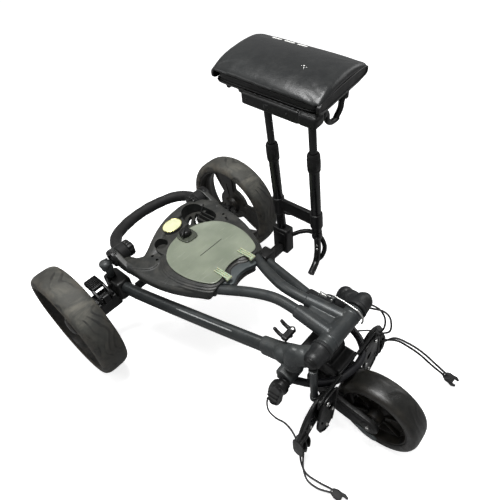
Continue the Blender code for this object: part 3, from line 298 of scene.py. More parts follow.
def braid():
    sh = Shading("cord_braid")
    place = sh.mapping(sh.coordinates("UV"), {"Scale": (4, 120, 1)})
    checks = sh.node("TexChecker", {
        "Vector": place, "Scale": 1.0, "Color1": (0.010, 0.010, 0.011, 1),
        "Color2": (0.030, 0.030, 0.031, 1)})
    return sh.finish({"Base Color": checks.outputs["Color"], "Roughness": 0.7,
                      "Normal": sh.bump(checks.outputs["Fac"], depth=0.0003, strength=0.8)})


# -------------------------------------------------------------------------------- materials
PAINT = surface("paint_charcoal", (0.038, 0.043, 0.045), rough=0.36, metal=0.30, vary=0.14,
                scale=22, grain=2600, grain_depth=0.00005, dust_top=0.14, scratch=0.30,
                rough_vary=0.07)
LEG_PAINT = surface("paint_leg_black", (0.0045, 0.005, 0.0055), rough=0.24, metal=0.1, vary=0.2,
                    scale=30, grain=1800, grain_depth=0.00003, dust_top=0.03, scratch=0.15,
                    coat=0.15, specular=0.45)
BLACK = surface("plastic_black", (0.0042, 0.0044, 0.0047), rough=0.38, vary=0.25, scale=40,
                grain=1500, grain_depth=0.00010, dust_top=0.035, scratch=0.20, specular=0.4)
CASTING = surface("knuckle_casting", (0.042, 0.047, 0.048), rough=0.44, metal=0.15, vary=0.16,
                  scale=26, grain=1300, grain_depth=0.00012, dust_top=0.16, scratch=0.25,
                  lump=(60, 0.00025))
CONSOLE = surface("console_plastic", (0.0165, 0.0180, 0.0172), rough=0.44, vary=0.14, scale=18,
                  grain=1700, grain_depth=0.00012, dust_top=0.20, scratch=0.35)
# Pale bluish plastic of the console's front lip; the same pale colour on the fork's foot
# flanges is painted light from below.
PALE_LIP_AND_PAINTED_LIGHT = surface("lip_plastic_and_painted_light", (0.050, 0.062, 0.066), rough=0.40, vary=0.12, scale=18,
              grain=1700, grain_depth=0.00008, dust_top=0.12, scratch=0.3)
RIM = surface("rim_plastic", (0.0110, 0.0108, 0.0100), rough=0.40, vary=0.3, scale=30,
              grain=1200, dust=(0.13, 0.115, 0.09), dust_top=0.45, dust_side=0.20,
              scratch=0.2, specular=0.4)
FRONT_RIM = surface("rim_front_plastic", (0.006, 0.006, 0.006), rough=0.42, vary=0.3, scale=30,
                    grain=1200, dust=(0.055, 0.045, 0.028), dust_top=0.45, dust_side=0.30,
                    scratch=0.12, specular=0.35)
FOAM = surface("grip_foam", (0.0045, 0.0047, 0.0056), rough=0.60, vary=0.3, scale=18, grain=700,
               grain_depth=0.00035, lump=(120, 0.0003), sheen=0.1, dust_top=0.06, specular=0.3)
RUBBER = surface("rest_rubber", (0.016, 0.016, 0.016), rough=0.62, vary=0.2, scale=50,
                 grain=900, grain_depth=0.0002, dust_top=0.15)
STEEL = surface("bright_steel", (0.72, 0.72, 0.70), rough=0.26, metal=1.0, vary=0.10, scale=120,
                grain=900, grain_depth=0.00004, rough_vary=0.08)
BADGE = surface("badge_enamel", (0.78, 0.80, 0.50), rough=0.22, vary=0.05, scale=60, grain=400,
                grain_depth=0.00002, coat=0.7, dust=(0.35, 0.36, 0.22), dust_top=0.25)
BADGE_RIM = surface("badge_rim", (0.55, 0.50, 0.20), rough=0.25, metal=0.8, vary=0.08, scale=80,
                    grain=500, grain_depth=0.00002)
FLECK = surface("worn_fleck", (0.85, 0.85, 0.82), rough=0.6, vary=0.05, scale=200, grain=900,
                grain_depth=0.00005)
STRIPE = surface("pale_stripe", (0.42, 0.43, 0.43), rough=0.5, metal=0.2, vary=0.35, scale=260,
                 grain=900, grain_depth=0.00003)
VINYL = vinyl()
LID = translucent_lid()
TAB = surface("tab_pale_plastic", (0.46, 0.49, 0.33), rough=0.30, vary=0.08, scale=90,
              grain=900, grain_depth=0.00003, coat=0.3)
TAB.node_tree.nodes["Principled BSDF"].inputs["Subsurface Weight"].default_value = 0.2
LENS = smoked_lens()
CORD = braid()
NOSE = surface("nose_casting_dark", (0.0075, 0.0085, 0.0095), rough=0.46, metal=0.05, vary=0.25,
               scale=30, grain=900, grain_depth=0.00022, dust_top=0.05, scratch=0.25,
               lump=(70, 0.00035))
HOOP = surface("hoop_paint", (0.014, 0.0145, 0.018), rough=0.34, metal=0.2, vary=0.16, scale=24,
               grain=2200, grain_depth=0.00005, dust_top=0.08, scratch=0.25)
BEAD = surface("bead_dust", (0.060, 0.054, 0.044), rough=0.75, vary=0.3, scale=40, grain=700,
               grain_depth=0.0001, dust=(0.30, 0.26, 0.20), dust_top=0.55)
BOLT = surface("bolt_dull_steel", (0.16, 0.16, 0.16), rough=0.45, metal=0.85, vary=0.2,
               scale=60, grain=900, dust_top=0.25, scratch=0.3)


# --------------------------------------------------------------------------- points and paths
def angles(count):
    return [2 * math.pi * k / count for k in range(count)]


def circle(radius, sides, radius_2=None):
    radius_2 = radius if radius_2 is None else radius_2
    return [(radius * math.cos(a), radius_2 * math.sin(a)) for a in angles(sides)]


def catmull(a, b, c, d, t):
    """Catmull-Rom point between b and c."""
    return 0.5 * ((2 * b) + (c - a) * t + (2 * a - 5 * b + 4 * c - d) * t * t
                  + (3 * b - a - 3 * c + d) * t ** 3)


def spline(points, steps):
    """Smooth open path through points."""
    pts = [Vector(p) for p in points]
    pts = [pts[0] * 2 - pts[1]] + pts + [pts[-1] * 2 - pts[-2]]
    path = [catmull(*pts[i - 1:i + 3], k / steps)
            for i in range(1, len(pts) - 2) for k in range(steps)]
    return path + [pts[-2]]


def spline_loop(points, steps):
    """Smooth closed outline through 2D points."""
    pts = [Vector(p) for p in points]
    count = len(pts)
    return [tuple(catmull(pts[i - 1], pts[i], pts[(i + 1) % count], pts[(i + 2) % count],
                          k / steps))
            for i in range(count) for k in range(steps)]


def soften(points, rounds, share=0.22, is_open=False):
    """Round the corners of 2D points by cutting each edge at share from its ends."""
    pts = [Vector(p) for p in points]
    for _ in range(rounds):
        cut_points = []
        for i in range(len(pts) - is_open):
            a, b = pts[i], pts[(i + 1) % len(pts)]
            cut_points += [a * (1 - share) + b * share, a * share + b * (1 - share)]
        pts = [pts[0]] + cut_points + [pts[-1]] if is_open else cut_points
    return [tuple(p) for p in pts]


def soften_profile(profile, rounds):
    return soften(profile, rounds, share=0.2, is_open=True)


def soft_rectangle(half_width, half_height, rounds, share=0.22):
    return soften([(-half_width, -half_height), (half_width, -half_height),
                   (half_width, half_height), (-half_width, half_height)], rounds, share)


def inset(outline, distance):
    """Move a closed outline inwards by distance along its point normals."""
    count = len(outline)
    area = sum(outline[i][0] * outline[(i + 1) % count][1]
               - outline[(i + 1) % count][0] * outline[i][1] for i in range(count))
    sign = 1 if area > 0 else -1
    moved = []
    for i in range(count):
        along = (Vector(outline[(i + 1) % count]) - Vector(outline[i - 1])).normalized()
        inward = Vector((-along.y, along.x)) * sign
        moved.append(tuple(Vector(outline[i]) + inward * distance))
    return moved


def across(side, points):
    """Multiply the first coordinate of each point by side."""
    return [(side * x, *rest) for x, *rest in points]


def facing(side, profile):
    """Multiply the height of each (radius, height) row by side."""
    return [(r, side * h) for r, h in profile]


def mirror_outline(half):
    """Close a half outline that starts and ends on x = 0."""
    return half + across(-1, reversed(half[1:-1]))


def both_flanks(half):
    """Closed profile, even about height 0, from the rows of its positive half."""
    return facing(-1, half[:1]) + half + facing(-1, reversed(half[1:]))


def span(side, a, b):
    return sorted((side * a, side * b))


def aim(direction):
    """Rotation that carries +Z onto direction."""
    return direction.to_track_quat('Z', 'Y').to_matrix()


def path_frames(path, up):
    """(place, sideways, upward, tangent) at each point of a path."""
    pts = [Vector(p) for p in path]
    stations = []
    for i, p in enumerate(pts):
        if i == 0:
            tangent = pts[1] - pts[0]
        elif i == len(pts) - 1:
            tangent = pts[-1] - pts[-2]
        else:
            tangent = (pts[i] - pts[i - 1]).normalized() + (pts[i + 1] - pts[i]).normalized()
        tangent.normalize()
        sideways = tangent.cross(Vector(up))
        sideways.normalize()
        stations.append((p, sideways, sideways.cross(tangent).normalized(), tangent))
    return stations


# ------------------------------------------------------------------------------ closed shells
def link_object(name, data):
    ob = bpy.data.objects.new(name, data)
    COLLECTION.objects.link(ob)
    return ob


def shell(points, faces):
    """Object from points and faces, with its normals turned outwards."""
    mesh = bpy.data.meshes.new("part")
    mesh.from_pydata([tuple(p) for p in points], [], [tuple(f) for f in faces])
    bm = bmesh.new()
    bm.from_mesh(mesh)
    bmesh.ops.remove_doubles(bm, verts=bm.verts, dist=1e-6)
    bmesh.ops.recalc_face_normals(bm, faces=bm.faces)
    if bm.calc_volume(signed=True) < 0:
        bmesh.ops.reverse_faces(bm, faces=bm.faces)
    bm.to_mesh(mesh)
    bm.free()
    return link_object("part", mesh)


def shell_from_bmesh(bm):
    bm.verts.index_update()
    points = [v.co.copy() for v in bm.verts]
    faces = [[v.index for v in face.verts] for face in bm.faces]
    bm.free()
    return shell(points, faces)


def loft(rings, loop=False):
    """Skin over equal rings of points; open ends are capped."""
    rows, sides = len(rings), len(rings[0])
    faces = []
    for i in range(rows if loop else rows - 1):
        for j in range(sides):
            after = (i + 1) % rows * sides
            j2 = (j + 1) % sides
            faces.append((i * sides + j, i * sides + j2, after + j2, after + j))
    if not loop:
        faces += [range(sides), range((rows - 1) * sides, rows * sides)]
    return shell([p for ring in rings for p in ring], faces)


def slab(first, second):
    """Solid between two matching outlines."""
    n = len(first)
    walls = [(i, (i + 1) % n, n + (i + 1) % n, n + i) for i in range(n)]
    return shell(first + second, [range(n), range(n, 2 * n)] + walls)


def sweep(path, section, up=(0, 0, 1), scales=None, round_end=0.0):
    """Carry a 2D section along a path; round_end is the length of a domed end."""
    stations = path_frames(path, up)
    scales = scales or [1.0] * len(stations)

    def ring(i, degrees=0, way=1):
        place, sideways, upward, tangent = stations[i]
        place = place + tangent * (way * round_end * math.sin(math.radians(degrees)))
        scale = scales[i] * math.cos(math.radians(degrees))
        return [place + sideways * (a * scale) + upward * (b * scale) for a, b in section]

    dome = (20, 40, 60, 80) if round_end > 0 else ()
    return loft([ring(0, d, -1) for d in reversed(dome)]
                + [ring(i) for i in range(len(stations))]
                + [ring(-1, d) for d in dome])


def tube(points, radius, sides, steps, up=(0, 0, 1), round_end=0.0):
    return sweep(spline(points, steps), circle(radius, sides), up, round_end=round_end)


def lathe(profile, centre, sides, axis='X', closed=True, turn=None):
    """Turn rows of (radius, height) about an axis through centre, or about turn's Z."""
    centre = Vector(centre)

    def place(radius, height, angle):
        u, v = radius * math.cos(angle), radius * math.sin(angle)
        if turn is not None:
            return centre + turn @ Vector((u, v, height))
        spots = {'X': (height, u, v), 'Y': (v, height, u), 'Z': (u, v, height)}
        return centre + Vector(spots[axis])

    points, rings, faces = [], [], []
    for radius, height in profile:
        turns = [0] if radius < 1e-9 else angles(sides)
        rings.append(range(len(points), len(points) + len(turns)))
        points += [place(0 if radius < 1e-9 else radius, height, a) for a in turns]
    count = len(profile)
    for i in range(count if closed else count - 1):
        a, b = rings[i], rings[(i + 1) % count]
        if len(a) == 1 and len(b) == 1:
            continue
        for j in range(sides):
            j2 = (j + 1) % sides
            if len(a) == 1:
                faces.append((a[0], b[j2], b[j]))
            elif len(b) == 1:
                faces.append((a[j], a[j2], b[0]))
            else:
                faces.append((a[j], a[j2], b[j2], b[j]))
    return shell(points, faces)


def rod(start, end, radius, sides=32, end_radius=None, bevel=0.0):
    start = Vector(start)
    along = Vector(end) - start
    length = along.length
    r2 = radius if end_radius is None else end_radius
    if bevel > 0:
        soft = bevel * 0.3
        profile = [(0, 0), (radius - bevel, 0), (radius - soft, soft), (radius, bevel),
                   (r2, length - bevel), (r2 - soft, length - soft), (r2 - bevel, length),
                   (0, length)]
    else:
        profile = [(0, 0), (radius, 0), (r2, length), (0, length)]
    return lathe(profile, start, sides, closed=False, turn=aim(along))


def rod_x(start, end, y, z, radius, sides=32, end_radius=None, bevel=0.0):
    """Rod along X from start to end."""
    return rod((start, y, z), (end, y, z), radius, sides, end_radius, bevel)


def torus(centre, major, minor, axis, sides, section_sides):
    profile = [(major + u, v) for u, v in circle(minor, section_sides)]
    return lathe(profile, centre, sides, axis)


def box(low, high, bevel=0.0, segments=3, frame=None):
    bm = bmesh.new()
    bmesh.ops.create_cube(bm, size=1.0)
    low, high = Vector(low), Vector(high)
    for v in bm.verts:
        v.co = Vector([(v.co[i] + .5) * (high[i] - low[i]) + low[i] for i in range(3)])
    if bevel > 0:
        bmesh.ops.bevel(bm, geom=bm.edges[:], offset=bevel, segments=segments,
                        affect='EDGES', profile=0.5)
    if frame is not None:
        for v in bm.verts:
            v.co = frame @ v.co
    return shell_from_bmesh(bm)


def side_box(side, low, high, bevel):
    """Box given for the +X side, placed on the asked side."""
    x0, x1 = span(side, low[0], high[0])
    return box((x0, *low[1:]), (x1, *high[1:]), bevel)


def prism(outline, start, end, plane='XY', bevel=0.0, frame=None):
    """Push an outline, drawn in plane, from start to end along the third axis."""
    def place(u, v, w):
        spots = {'XY': (u, v, w), 'YZ': (w, u, v), 'XZ': (u, w, v)}
        point = Vector(spots[plane])
        return point if frame is None else frame @ point

    ob = slab([place(u, v, start) for u, v in outline], [place(u, v, end) for u, v in outline])
    if bevel > 0:
        bm = bmesh.new()
        bm.from_mesh(ob.data)
        cap_edges = [e for e in bm.edges
                     if any(len(face.verts) == len(outline) for face in e.link_faces)]
        bmesh.ops.bevel(bm, geom=cap_edges, offset=bevel, segments=3, affect='EDGES',
                        profile=0.5)
        bm.to_mesh(ob.data)
        bm.free()
    return ob


def soft_prism(points, rounds, start, end, plane, bevel=0.0):
    return prism(soften(points, rounds), start, end, plane, bevel)


def ball(centre, radius, stretch=(1, 1, 1)):
    bm = bmesh.new()
    bmesh.ops.create_uvsphere(bm, u_segments=24, v_segments=12, radius=1.0)
    for v in bm.verts:
        v.co = Vector([centre[i] + v.co[i] * radius * stretch[i] for i in range(3)])
    return shell_from_bmesh(bm)


def rivet_head(base, direction, radius, height):
    """Domed head that stands on base along direction."""
    profile = [(0, 0), (radius, 0), (radius, height * 0.25), (radius * 0.92, height * 0.55),
               (radius * 0.7, height * 0.85), (radius * 0.35, height), (0, height)]
    return lathe(profile, base, 24, closed=False, turn=aim(Vector(direction).normalized()))


# ------------------------------------------------------------------- combining and finishing
def discard(ob):
    mesh = ob.data
    bpy.data.objects.remove(ob, do_unlink=True)
    if mesh.users == 0:
        bpy.data.meshes.remove(mesh)


def add_modifier(ob, kind, **settings):
    modifier = ob.modifiers.new(kind, kind)
    for key, value in settings.items():
        setattr(modifier, key, value)
    return modifier


def bake(ob):
    """Replace the mesh by what its modifiers make of it."""
    bpy.context.view_layer.update()
    depsgraph = bpy.context.evaluated_depsgraph_get()
    mesh = bpy.data.meshes.new_from_object(ob.evaluated_get(depsgraph))
    old = ob.data
    ob.modifiers.clear()
    ob.data = mesh
    if old.users == 0:
        bpy.data.meshes.remove(old)


def cut(target, cutters):
    for cutter in cutters:
        add_modifier(target, 'BOOLEAN', operation='DIFFERENCE', solver='MANIFOLD',
                     object=cutter)
        bake(target)
        discard(cutter)
    return target


def join(obs):
    """One object from several closed shells, which may overlap."""
    bm = bmesh.new()
    for ob in obs:
        bm.from_mesh(ob.data)
    mesh = bpy.data.meshes.new("join")
    bm.to_mesh(mesh)
    bm.free()
    for ob in obs:
        discard(ob)
    return link_object("join", mesh)


def fuse(obs, voxel, smoothing):
    """Weld overlapping shells into one moulded body with filleted joins."""
    ob = join(obs)
    add_modifier(ob, 'REMESH', mode='VOXEL', voxel_size=voxel)
    bake(ob)
    add_modifier(ob, 'SMOOTH', iterations=smoothing, factor=0.5)
    bake(ob)
    return ob


def mirrored(ob):
    mesh = ob.data.copy()
    bm = bmesh.new()
    bm.from_mesh(mesh)
    for v in bm.verts:
        v.co.x = -v.co.x
    bmesh.ops.reverse_faces(bm, faces=bm.faces)
    bm.to_mesh(mesh)
    bm.free()
    return link_object("mirrored", mesh)


def extra(ob, name, body, material, angle=40, node=None):
    """Finish an object that rides on body; edges sharper than angle degrees stay hard."""
    ob.name = name
    ob.data.name = name
    ob.data.materials.clear()
    ob.data.materials.append(material)
    for polygon in ob.data.polygons:
        polygon.material_index = 0
    ob.data.shade_smooth()
    ob.data.set_sharp_from_angle(angle=math.radians(angle))
    ob.location = OFFSET
    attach(ob, body)
    if node:
        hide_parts(node)


def piece(ob, name, node, material, angle=40):
    """Finish an object that stands for a CAD node."""
    extra(ob, name, NODE_BODY[node], material, angle, node)


def piece_pair(left, name, node, material, angle=40, right_material=None):
    """Finish a left piece and its mirror image; the side is added to name and node."""
    right = mirrored(left)
    piece(left, name + "_left", node + "_left", material, angle)
    piece(right, name + "_right", node + "_right", right_material or material, angle)


# ------------------------------------------------------------------------------------- wheels
def tyre(centre, radius, width, bead, sidewall):
    half_width = width / 2
    wall = radius - sidewall
    # radius, share of the half width
    half = [(bead, 0.93), (bead + 0.003, 0.995), (sidewall - 0.002, 1.0),
            (sidewall + wall * 0.15, 0.975), (radius - wall * 0.45, 0.90),
            (radius - wall * 0.10, 0.66), (radius, 0.32)]
    profile = ([(r, -half_width * k) for r, k in half] + [(radius, 0)]
               + [(r, half_width * k) for r, k in reversed(half)])
    return lathe(soften_profile(profile, 2), centre, 144)


def window_outline(centre, inner, outer, middle, half_angle, steps):
    """Rounded opening between spokes, as (y, z); angles in degrees from +Y towards +Z."""
    a0, a1 = math.radians(middle - half_angle), math.radians(middle + half_angle)
    polar = [(outer, a0 + (a1 - a0) * k / (steps - 1)) for k in range(steps)]
    polar += [(outer + (inner - outer) * k / 4, a1 - 0.10 * k / 4) for k in range(1, 4)]
    polar += [(inner, a1 - 0.10 - (a1 - a0 - 0.20) * k / 7) for k in range(8)]
    polar += [(inner + (outer - inner) * k / 4, a0 + 0.10 - 0.10 * k / 4) for k in range(1, 4)]
    outline = soften([(r * math.cos(a), r * math.sin(a)) for r, a in polar], 4, 0.25)
    return [(centre[1] + y, centre[2] + z) for y, z in outline]


def window_flange(centre, outline):
    """Raised rounded flange round a window."""
    middle = Vector((centre[0], sum(p[0] for p in outline) / len(outline),
                     sum(p[1] for p in outline) / len(outline)))
    pts = [Vector((centre[0], y, z)) for y, z in outline]
    rings = []
    for i, p in enumerate(pts):
        along = (pts[(i + 1) % len(pts)] - pts[i - 1]).normalized()
        outward = along.cross(Vector((1, 0, 0))).normalized()
        if outward.dot(p - middle) < 0:
            outward = -outward
        core = p + outward * 0.0012
        rings.append([core + outward * (0.0022 * math.cos(b))
                      + Vector((0.0088 * math.sin(b), 0, 0)) for b in angles(12)])
    return loft(rings, loop=True)


def rear_rim(centre):
    """Deep dished rim with three broad spokes."""
    flange = REAR_W / 2 * 0.86
    outer = REAR_BEAD - 0.0004
    half = [(outer, flange), (outer - 0.0016, flange + 0.0006), (outer - 0.0038, flange),
            (outer - 0.0050, flange * 0.5), (outer - 0.0075, 0.0085), (outer - 0.014, 0.0052),
            (0.080, 0.0060), (0.046, 0.0085), (0.0290, 0.0120), (0.0262, 0.0180),
            (0.0255, 0.0225), (0.0070, 0.0225)]
    first_window = 14
    disc = lathe(both_flanks(half), centre, 144)
    windows, flanges = [], []
    for k in range(3):
        outline = window_outline(centre, 0.048, 0.1095, first_window + 120 * k, 41, 20)
        windows.append(prism(outline, centre[0] - 0.03, centre[0] + 0.03, 'YZ'))
        flanges.append(window_flange(centre, outline))
    cut(disc, windows)
    parts = [disc] + flanges
    for k in range(6):      # screw bosses round the hub, on both faces
        a = math.radians(first_window + 60 * k)
        p = Vector((centre[0], centre[1] + 0.020 * math.cos(a),
                    centre[2] + 0.020 * math.sin(a)))
        parts += [rod(p + Vector((way * 0.020, 0, 0)), p + Vector((way * 0.0245, 0, 0)),
                      0.0032, 12, bevel=0.0006) for way in WAYS]
    swap_axes = Matrix(((0, 1, 0, 0), (1, 0, 0, 0), (0, 0, -1, 0), (0, 0, 0, 1)))
    for k in range(3):      # tapered ribs along the spokes
        turn = Matrix.Rotation(math.radians(first_window + 60 + 120 * k), 4, 'X')
        rib_frame = Matrix.Translation(Vector(centre)) @ turn @ swap_axes
        for way in WAYS:
            outline = facing(way, [(0.026, 0.006), (0.070, 0.0055), (0.070, 0.0075),
                                   (0.026, 0.0135)])
            parts.append(prism(outline, -0.0013, 0.0013, 'XY', frame=rib_frame))
    return join(parts)


def hub_cap(centre, side):
    profile = [(0, 0.0294), (0.0090, 0.0292), (0.0150, 0.0282), (0.0205, 0.0262),
               (0.0222, 0.0240), (0.0222, 0.0228), (0, 0.0228)]
    disc = lathe(soften_profile(facing(side, profile), 1), centre, 48, closed=False)
    ring_centre = (centre[0] + side * 0.0284, *centre[1:])
    return join([disc, torus(ring_centre, 0.0125, 0.0007, 'X', 40, 8)])


def bead_line(centre, side):
    """Dusty line where tyre and rim meet on the outer face."""
    x, y, z = centre
    half_width = side * REAR_W / 2
    return join([
        torus((x + half_width * 0.985, y, z), REAR_BEAD + 0.0022, 0.0012, 'X', 128, 10),
        torus((x + half_width * 0.93, y, z), REAR_BEAD - 0.0006, 0.0008, 'X', 128, 8)])


for side_name, side in SIDES:
    wheel_centre = (side * TRACK / 2, 0, REAR_R)
    rubber = tyre_surface("tyre_rubber_" + side_name, wheel_centre, REAR_R)
    piece(tyre(wheel_centre, REAR_R, REAR_W, REAR_BEAD, REAR_SIDEWALL),
          "rear_tyre_" + side_name, "tyre_" + side_name, rubber, angle=60)
    piece(rear_rim(wheel_centre), "rear_rim_" + side_name, "rim_" + side_name, RIM, angle=38)
    piece(hub_cap(wheel_centre, side), "hub_cap_disc_" + side_name, "hub_cap_" + side_name,
          RIM)
    extra(bead_line(wheel_centre, side), "tyre_bead_line_" + side_name,
          "rear_wheel_" + side_name, BEAD, angle=60)

FRONT_CENTRE = (0, -WHEELBASE, FRONT_R)


def front_rim():
    """Six-spoked rim."""
    flange = FRONT_W / 2 * 0.86
    outer = FRONT_BEAD - 0.0004
    half = [(outer, flange), (outer - 0.0014, flange + 0.0005), (outer - 0.0034, flange),
            (outer - 0.0045, flange * 0.5), (outer - 0.0060, 0.0065), (outer - 0.010, 0.0042),
            (0.030, 0.0055), (0.0185, 0.0100), (0.0165, 0.0180), (0.0160, 0.0285),
            (0.0053, 0.0285)]
    disc = lathe(both_flanks(half), FRONT_CENTRE, 120)
    cut(disc, [prism(window_outline(FRONT_CENTRE, 0.028, 0.0560, 60 * k, 21, 10),
                     -0.03, 0.03, 'YZ') for k in range(6)])
    # raised rings on both faces: distance from the middle, radius, thickness, sides, section
    rings = [(0.0055, 0.0570, 0.0016, 80, 8), (0.0288, 0.0120, 0.0006, 30, 6)]
    parts = [disc]
    for k in range(6):
        spoke = (Matrix.Translation(Vector(FRONT_CENTRE))
                 @ Matrix.Rotation(math.radians(30 + 60 * k), 4, 'X'))
        for way in WAYS:
            x0, x1 = span(way, 0.003, 0.0125)
            parts.append(box((x0, 0.015, -0.0014), (x1, 0.060, 0.0014), 0.0006, 2, spoke))
            if k < len(rings):
                offset, radius, thickness, sides, section = rings[k]
                parts.append(torus((way * offset, *FRONT_CENTRE[1:]), radius, thickness, 'X',
                                   sides, section))
    return join(parts)


piece(tyre(FRONT_CENTRE, FRONT_R, FRONT_W, FRONT_BEAD, FRONT_SIDEWALL), "front_tyre",
      "tyre_front",
      tyre_surface("tyre_rubber_front", FRONT_CENTRE, FRONT_R, shade=0.20, rough=(0.26, 0.42),
                   tan=0.12), angle=60)
piece(front_rim(), "front_rim", "rim_front", FRONT_RIM, angle=38)

# --------------------------------------------------------------------------- main frame tubes
MAIN_PATH = [(-0.156, 0.004, 0.181), (-0.1535, -0.040, 0.182), (-0.1480, -0.078, 0.183),
             (-0.1405, -0.115, 0.184), (-0.125, -0.190, 0.1872), (-0.1020, -0.300, 0.192),
             (-0.086, -0.376, 0.196), (-0.0700, -0.452, 0.200)]


def main_section():
    """Oval with a narrow groove along each flank."""
    points = []
    for x, y in circle(MAIN_W / 2, 56, MAIN_H / 2):
        groove = math.exp(-((y / MAIN_H - 0.02) / 0.035) ** 2) * 0.0011
        points.append((x - math.copysign(groove, x), y))
    return points


def stripe():
    """Thin pale stripe along the upper flank of the left tube."""
    rear, bend, front = Vector(MAIN_PATH[4]), Vector(MAIN_PATH[5]), Vector(MAIN_PATH[6])
    along = (bend - Vector(MAIN_PATH[3])).normalized()
    sideways = along.cross(Vector((0, 0, 1))).normalized()
    upward = sideways.cross(along)
    count, middle = 40, 56      # rings along the stripe; its angle round the tube, degrees
    rings = []
    for i in range(count):
        f = i / (count - 1)
        if f < 0.5:
            p = rear.lerp(bend, 0.15 + f * 1.7)
        else:
            p = bend.lerp(front, (f - 0.5) * 1.3)
        width = 5.0 if 0.04 < f < 0.96 else 2.0
        ring = []
        # angle round the tube, share of the tube's radius
        for degrees, lift in ((middle - width, 0.990), (middle - width, 1.006),
                              (middle, 1.008), (middle + width, 1.006),
                              (middle + width, 0.990)):
            a = math.radians(degrees)
            ring.append(p + sideways * (MAIN_W / 2 * math.cos(a) * lift)
                        + upward * (MAIN_H / 2 * math.sin(a) * lift))
        rings.append(ring)
    return loft(rings)


piece_pair(sweep(MAIN_PATH, main_section()), "frame_tube", "main_tube", PAINT, angle=50)
piece(rod_x(-0.134, 0.134, -0.062, 0.183, 0.0095), "cross_tube", "rear_cross_tube", PAINT)
extra(stripe(), "tube_plain_stripe", "chassis", STRIPE)


# ---------------------------------------------------------------- rear brackets, pedal, lever
def axle_bracket(side):
    parts = [side_box(side, (0.166, -0.024, 0.124), (0.232, 0.022, 0.164), 0.006),
             side_box(side, (0.1345, -0.046, 0.151), (0.1755, 0.017, 0.2065), 0.007),
             rod_x(side * 0.170, side * 0.237, 0, REAR_R, 0.0235, bevel=0.003),
             rod_x(side * 0.215, side * 0.2405, 0, REAR_R, 0.0165, bevel=0.002)]
    for y in (-0.016, 0.0, 0.014):
        parts.append(side_box(side, (0.178, y - 0.0015, 0.158), (0.226, y + 0.0015, 0.171),
                              0.0007))
    lug = [(-0.030, 0.160), (-0.010, 0.160), (-0.0130, 0.1790), (-0.0170, 0.1825),
           (-0.0230, 0.1825), (-0.0270, 0.1790)]
    parts.append(soft_prism(lug, 1, *span(side, 0.1915, 0.2105), 'YZ'))
    stub = (side * 0.2250, side * (TRACK / 2 - 0.0225))
    bracket = join([fuse(parts, 0.0013, 6), rod_x(*stub, 0, REAR_R, 0.0060, 20)])
    if side < 0:    # two posts and a pin carry the lever
        bracket = join([
            bracket,
            box((-0.1755, -0.0140, 0.2030), (-0.1700, -0.0020, 0.2215), 0.0018),
            box((-0.1580, -0.0140, 0.2030), (-0.1525, -0.0020, 0.2215), 0.0018),
            rod_x(-0.1760, -0.1520, -0.0080, 0.2150, 0.0024, 16, bevel=0.0004)])
    return bracket


def pedal():
    cheek = soften([(-0.0275, 0.1700), (-0.0135, 0.1700), (0.0070, 0.1860), (0.0070, 0.1980),
                    (-0.0020, 0.1980), (-0.0275, 0.1820)], 2)
    parts = [box((-0.2185, -0.001, 0.190), (-0.1835, 0.037, 0.2010), 0.003),
             prism(cheek, -0.2185, -0.2125, 'YZ', 0.001),
             prism(cheek, -0.1895, -0.1835, 'YZ', 0.001),
             rod_x(-0.2200, -0.1820, -0.020, 0.1745, 0.0030, 20, bevel=0.0005)]
    for k in range(7):      # tread bars
        y = 0.0025 + k * 0.0053
        parts.append(box((-0.2170, y - 0.0012, 0.1995), (-0.1850, y + 0.0012, 0.2042),
                         0.0007, 2))
    return join(parts)


def lever():
    path = spline([(-0.1640, -0.0080, 0.2080), (-0.1640, -0.0130, 0.2230),
                   (-0.1640, -0.0190, 0.2360), (-0.1640, -0.0210, 0.2480),
                   (-0.1640, -0.0170, 0.2570), (-0.1640, -0.0090, 0.2610)], 8)
    last = len(path) - 1
    scales = [1.0 + 0.25 * min(1.0, (i / last) * 1.5) ** 1.6 for i in range(last + 1)]
    arm = sweep(path, soft_rectangle(0.0090, 0.0040, 3), (0.06, 1.0, 0.35), scales, 0.003)
    eye = rod_x(-0.1690, -0.1590, -0.0080, 0.2150, 0.0075, 28, bevel=0.001)
    top = fuse([ball((-0.1665, -0.0140, 0.2580), 0.0120, (1.15, 1.2, 0.75)),
                box((-0.1790, -0.0260, 0.2440), (-0.1580, -0.0120, 0.2580), 0.004)], 0.0012, 4)
    return fuse([arm, eye, top], 0.0008, 4)


for side_name, side in SIDES:
    piece(axle_bracket(side), "axle_housing_" + side_name, "axle_bracket_" + side_name, BLACK)
piece(pedal(), "foot_brake_pedal", "brake_pedal", BLACK)
piece(lever(), "parking_brake_lever", "brake_lever", CASTING)


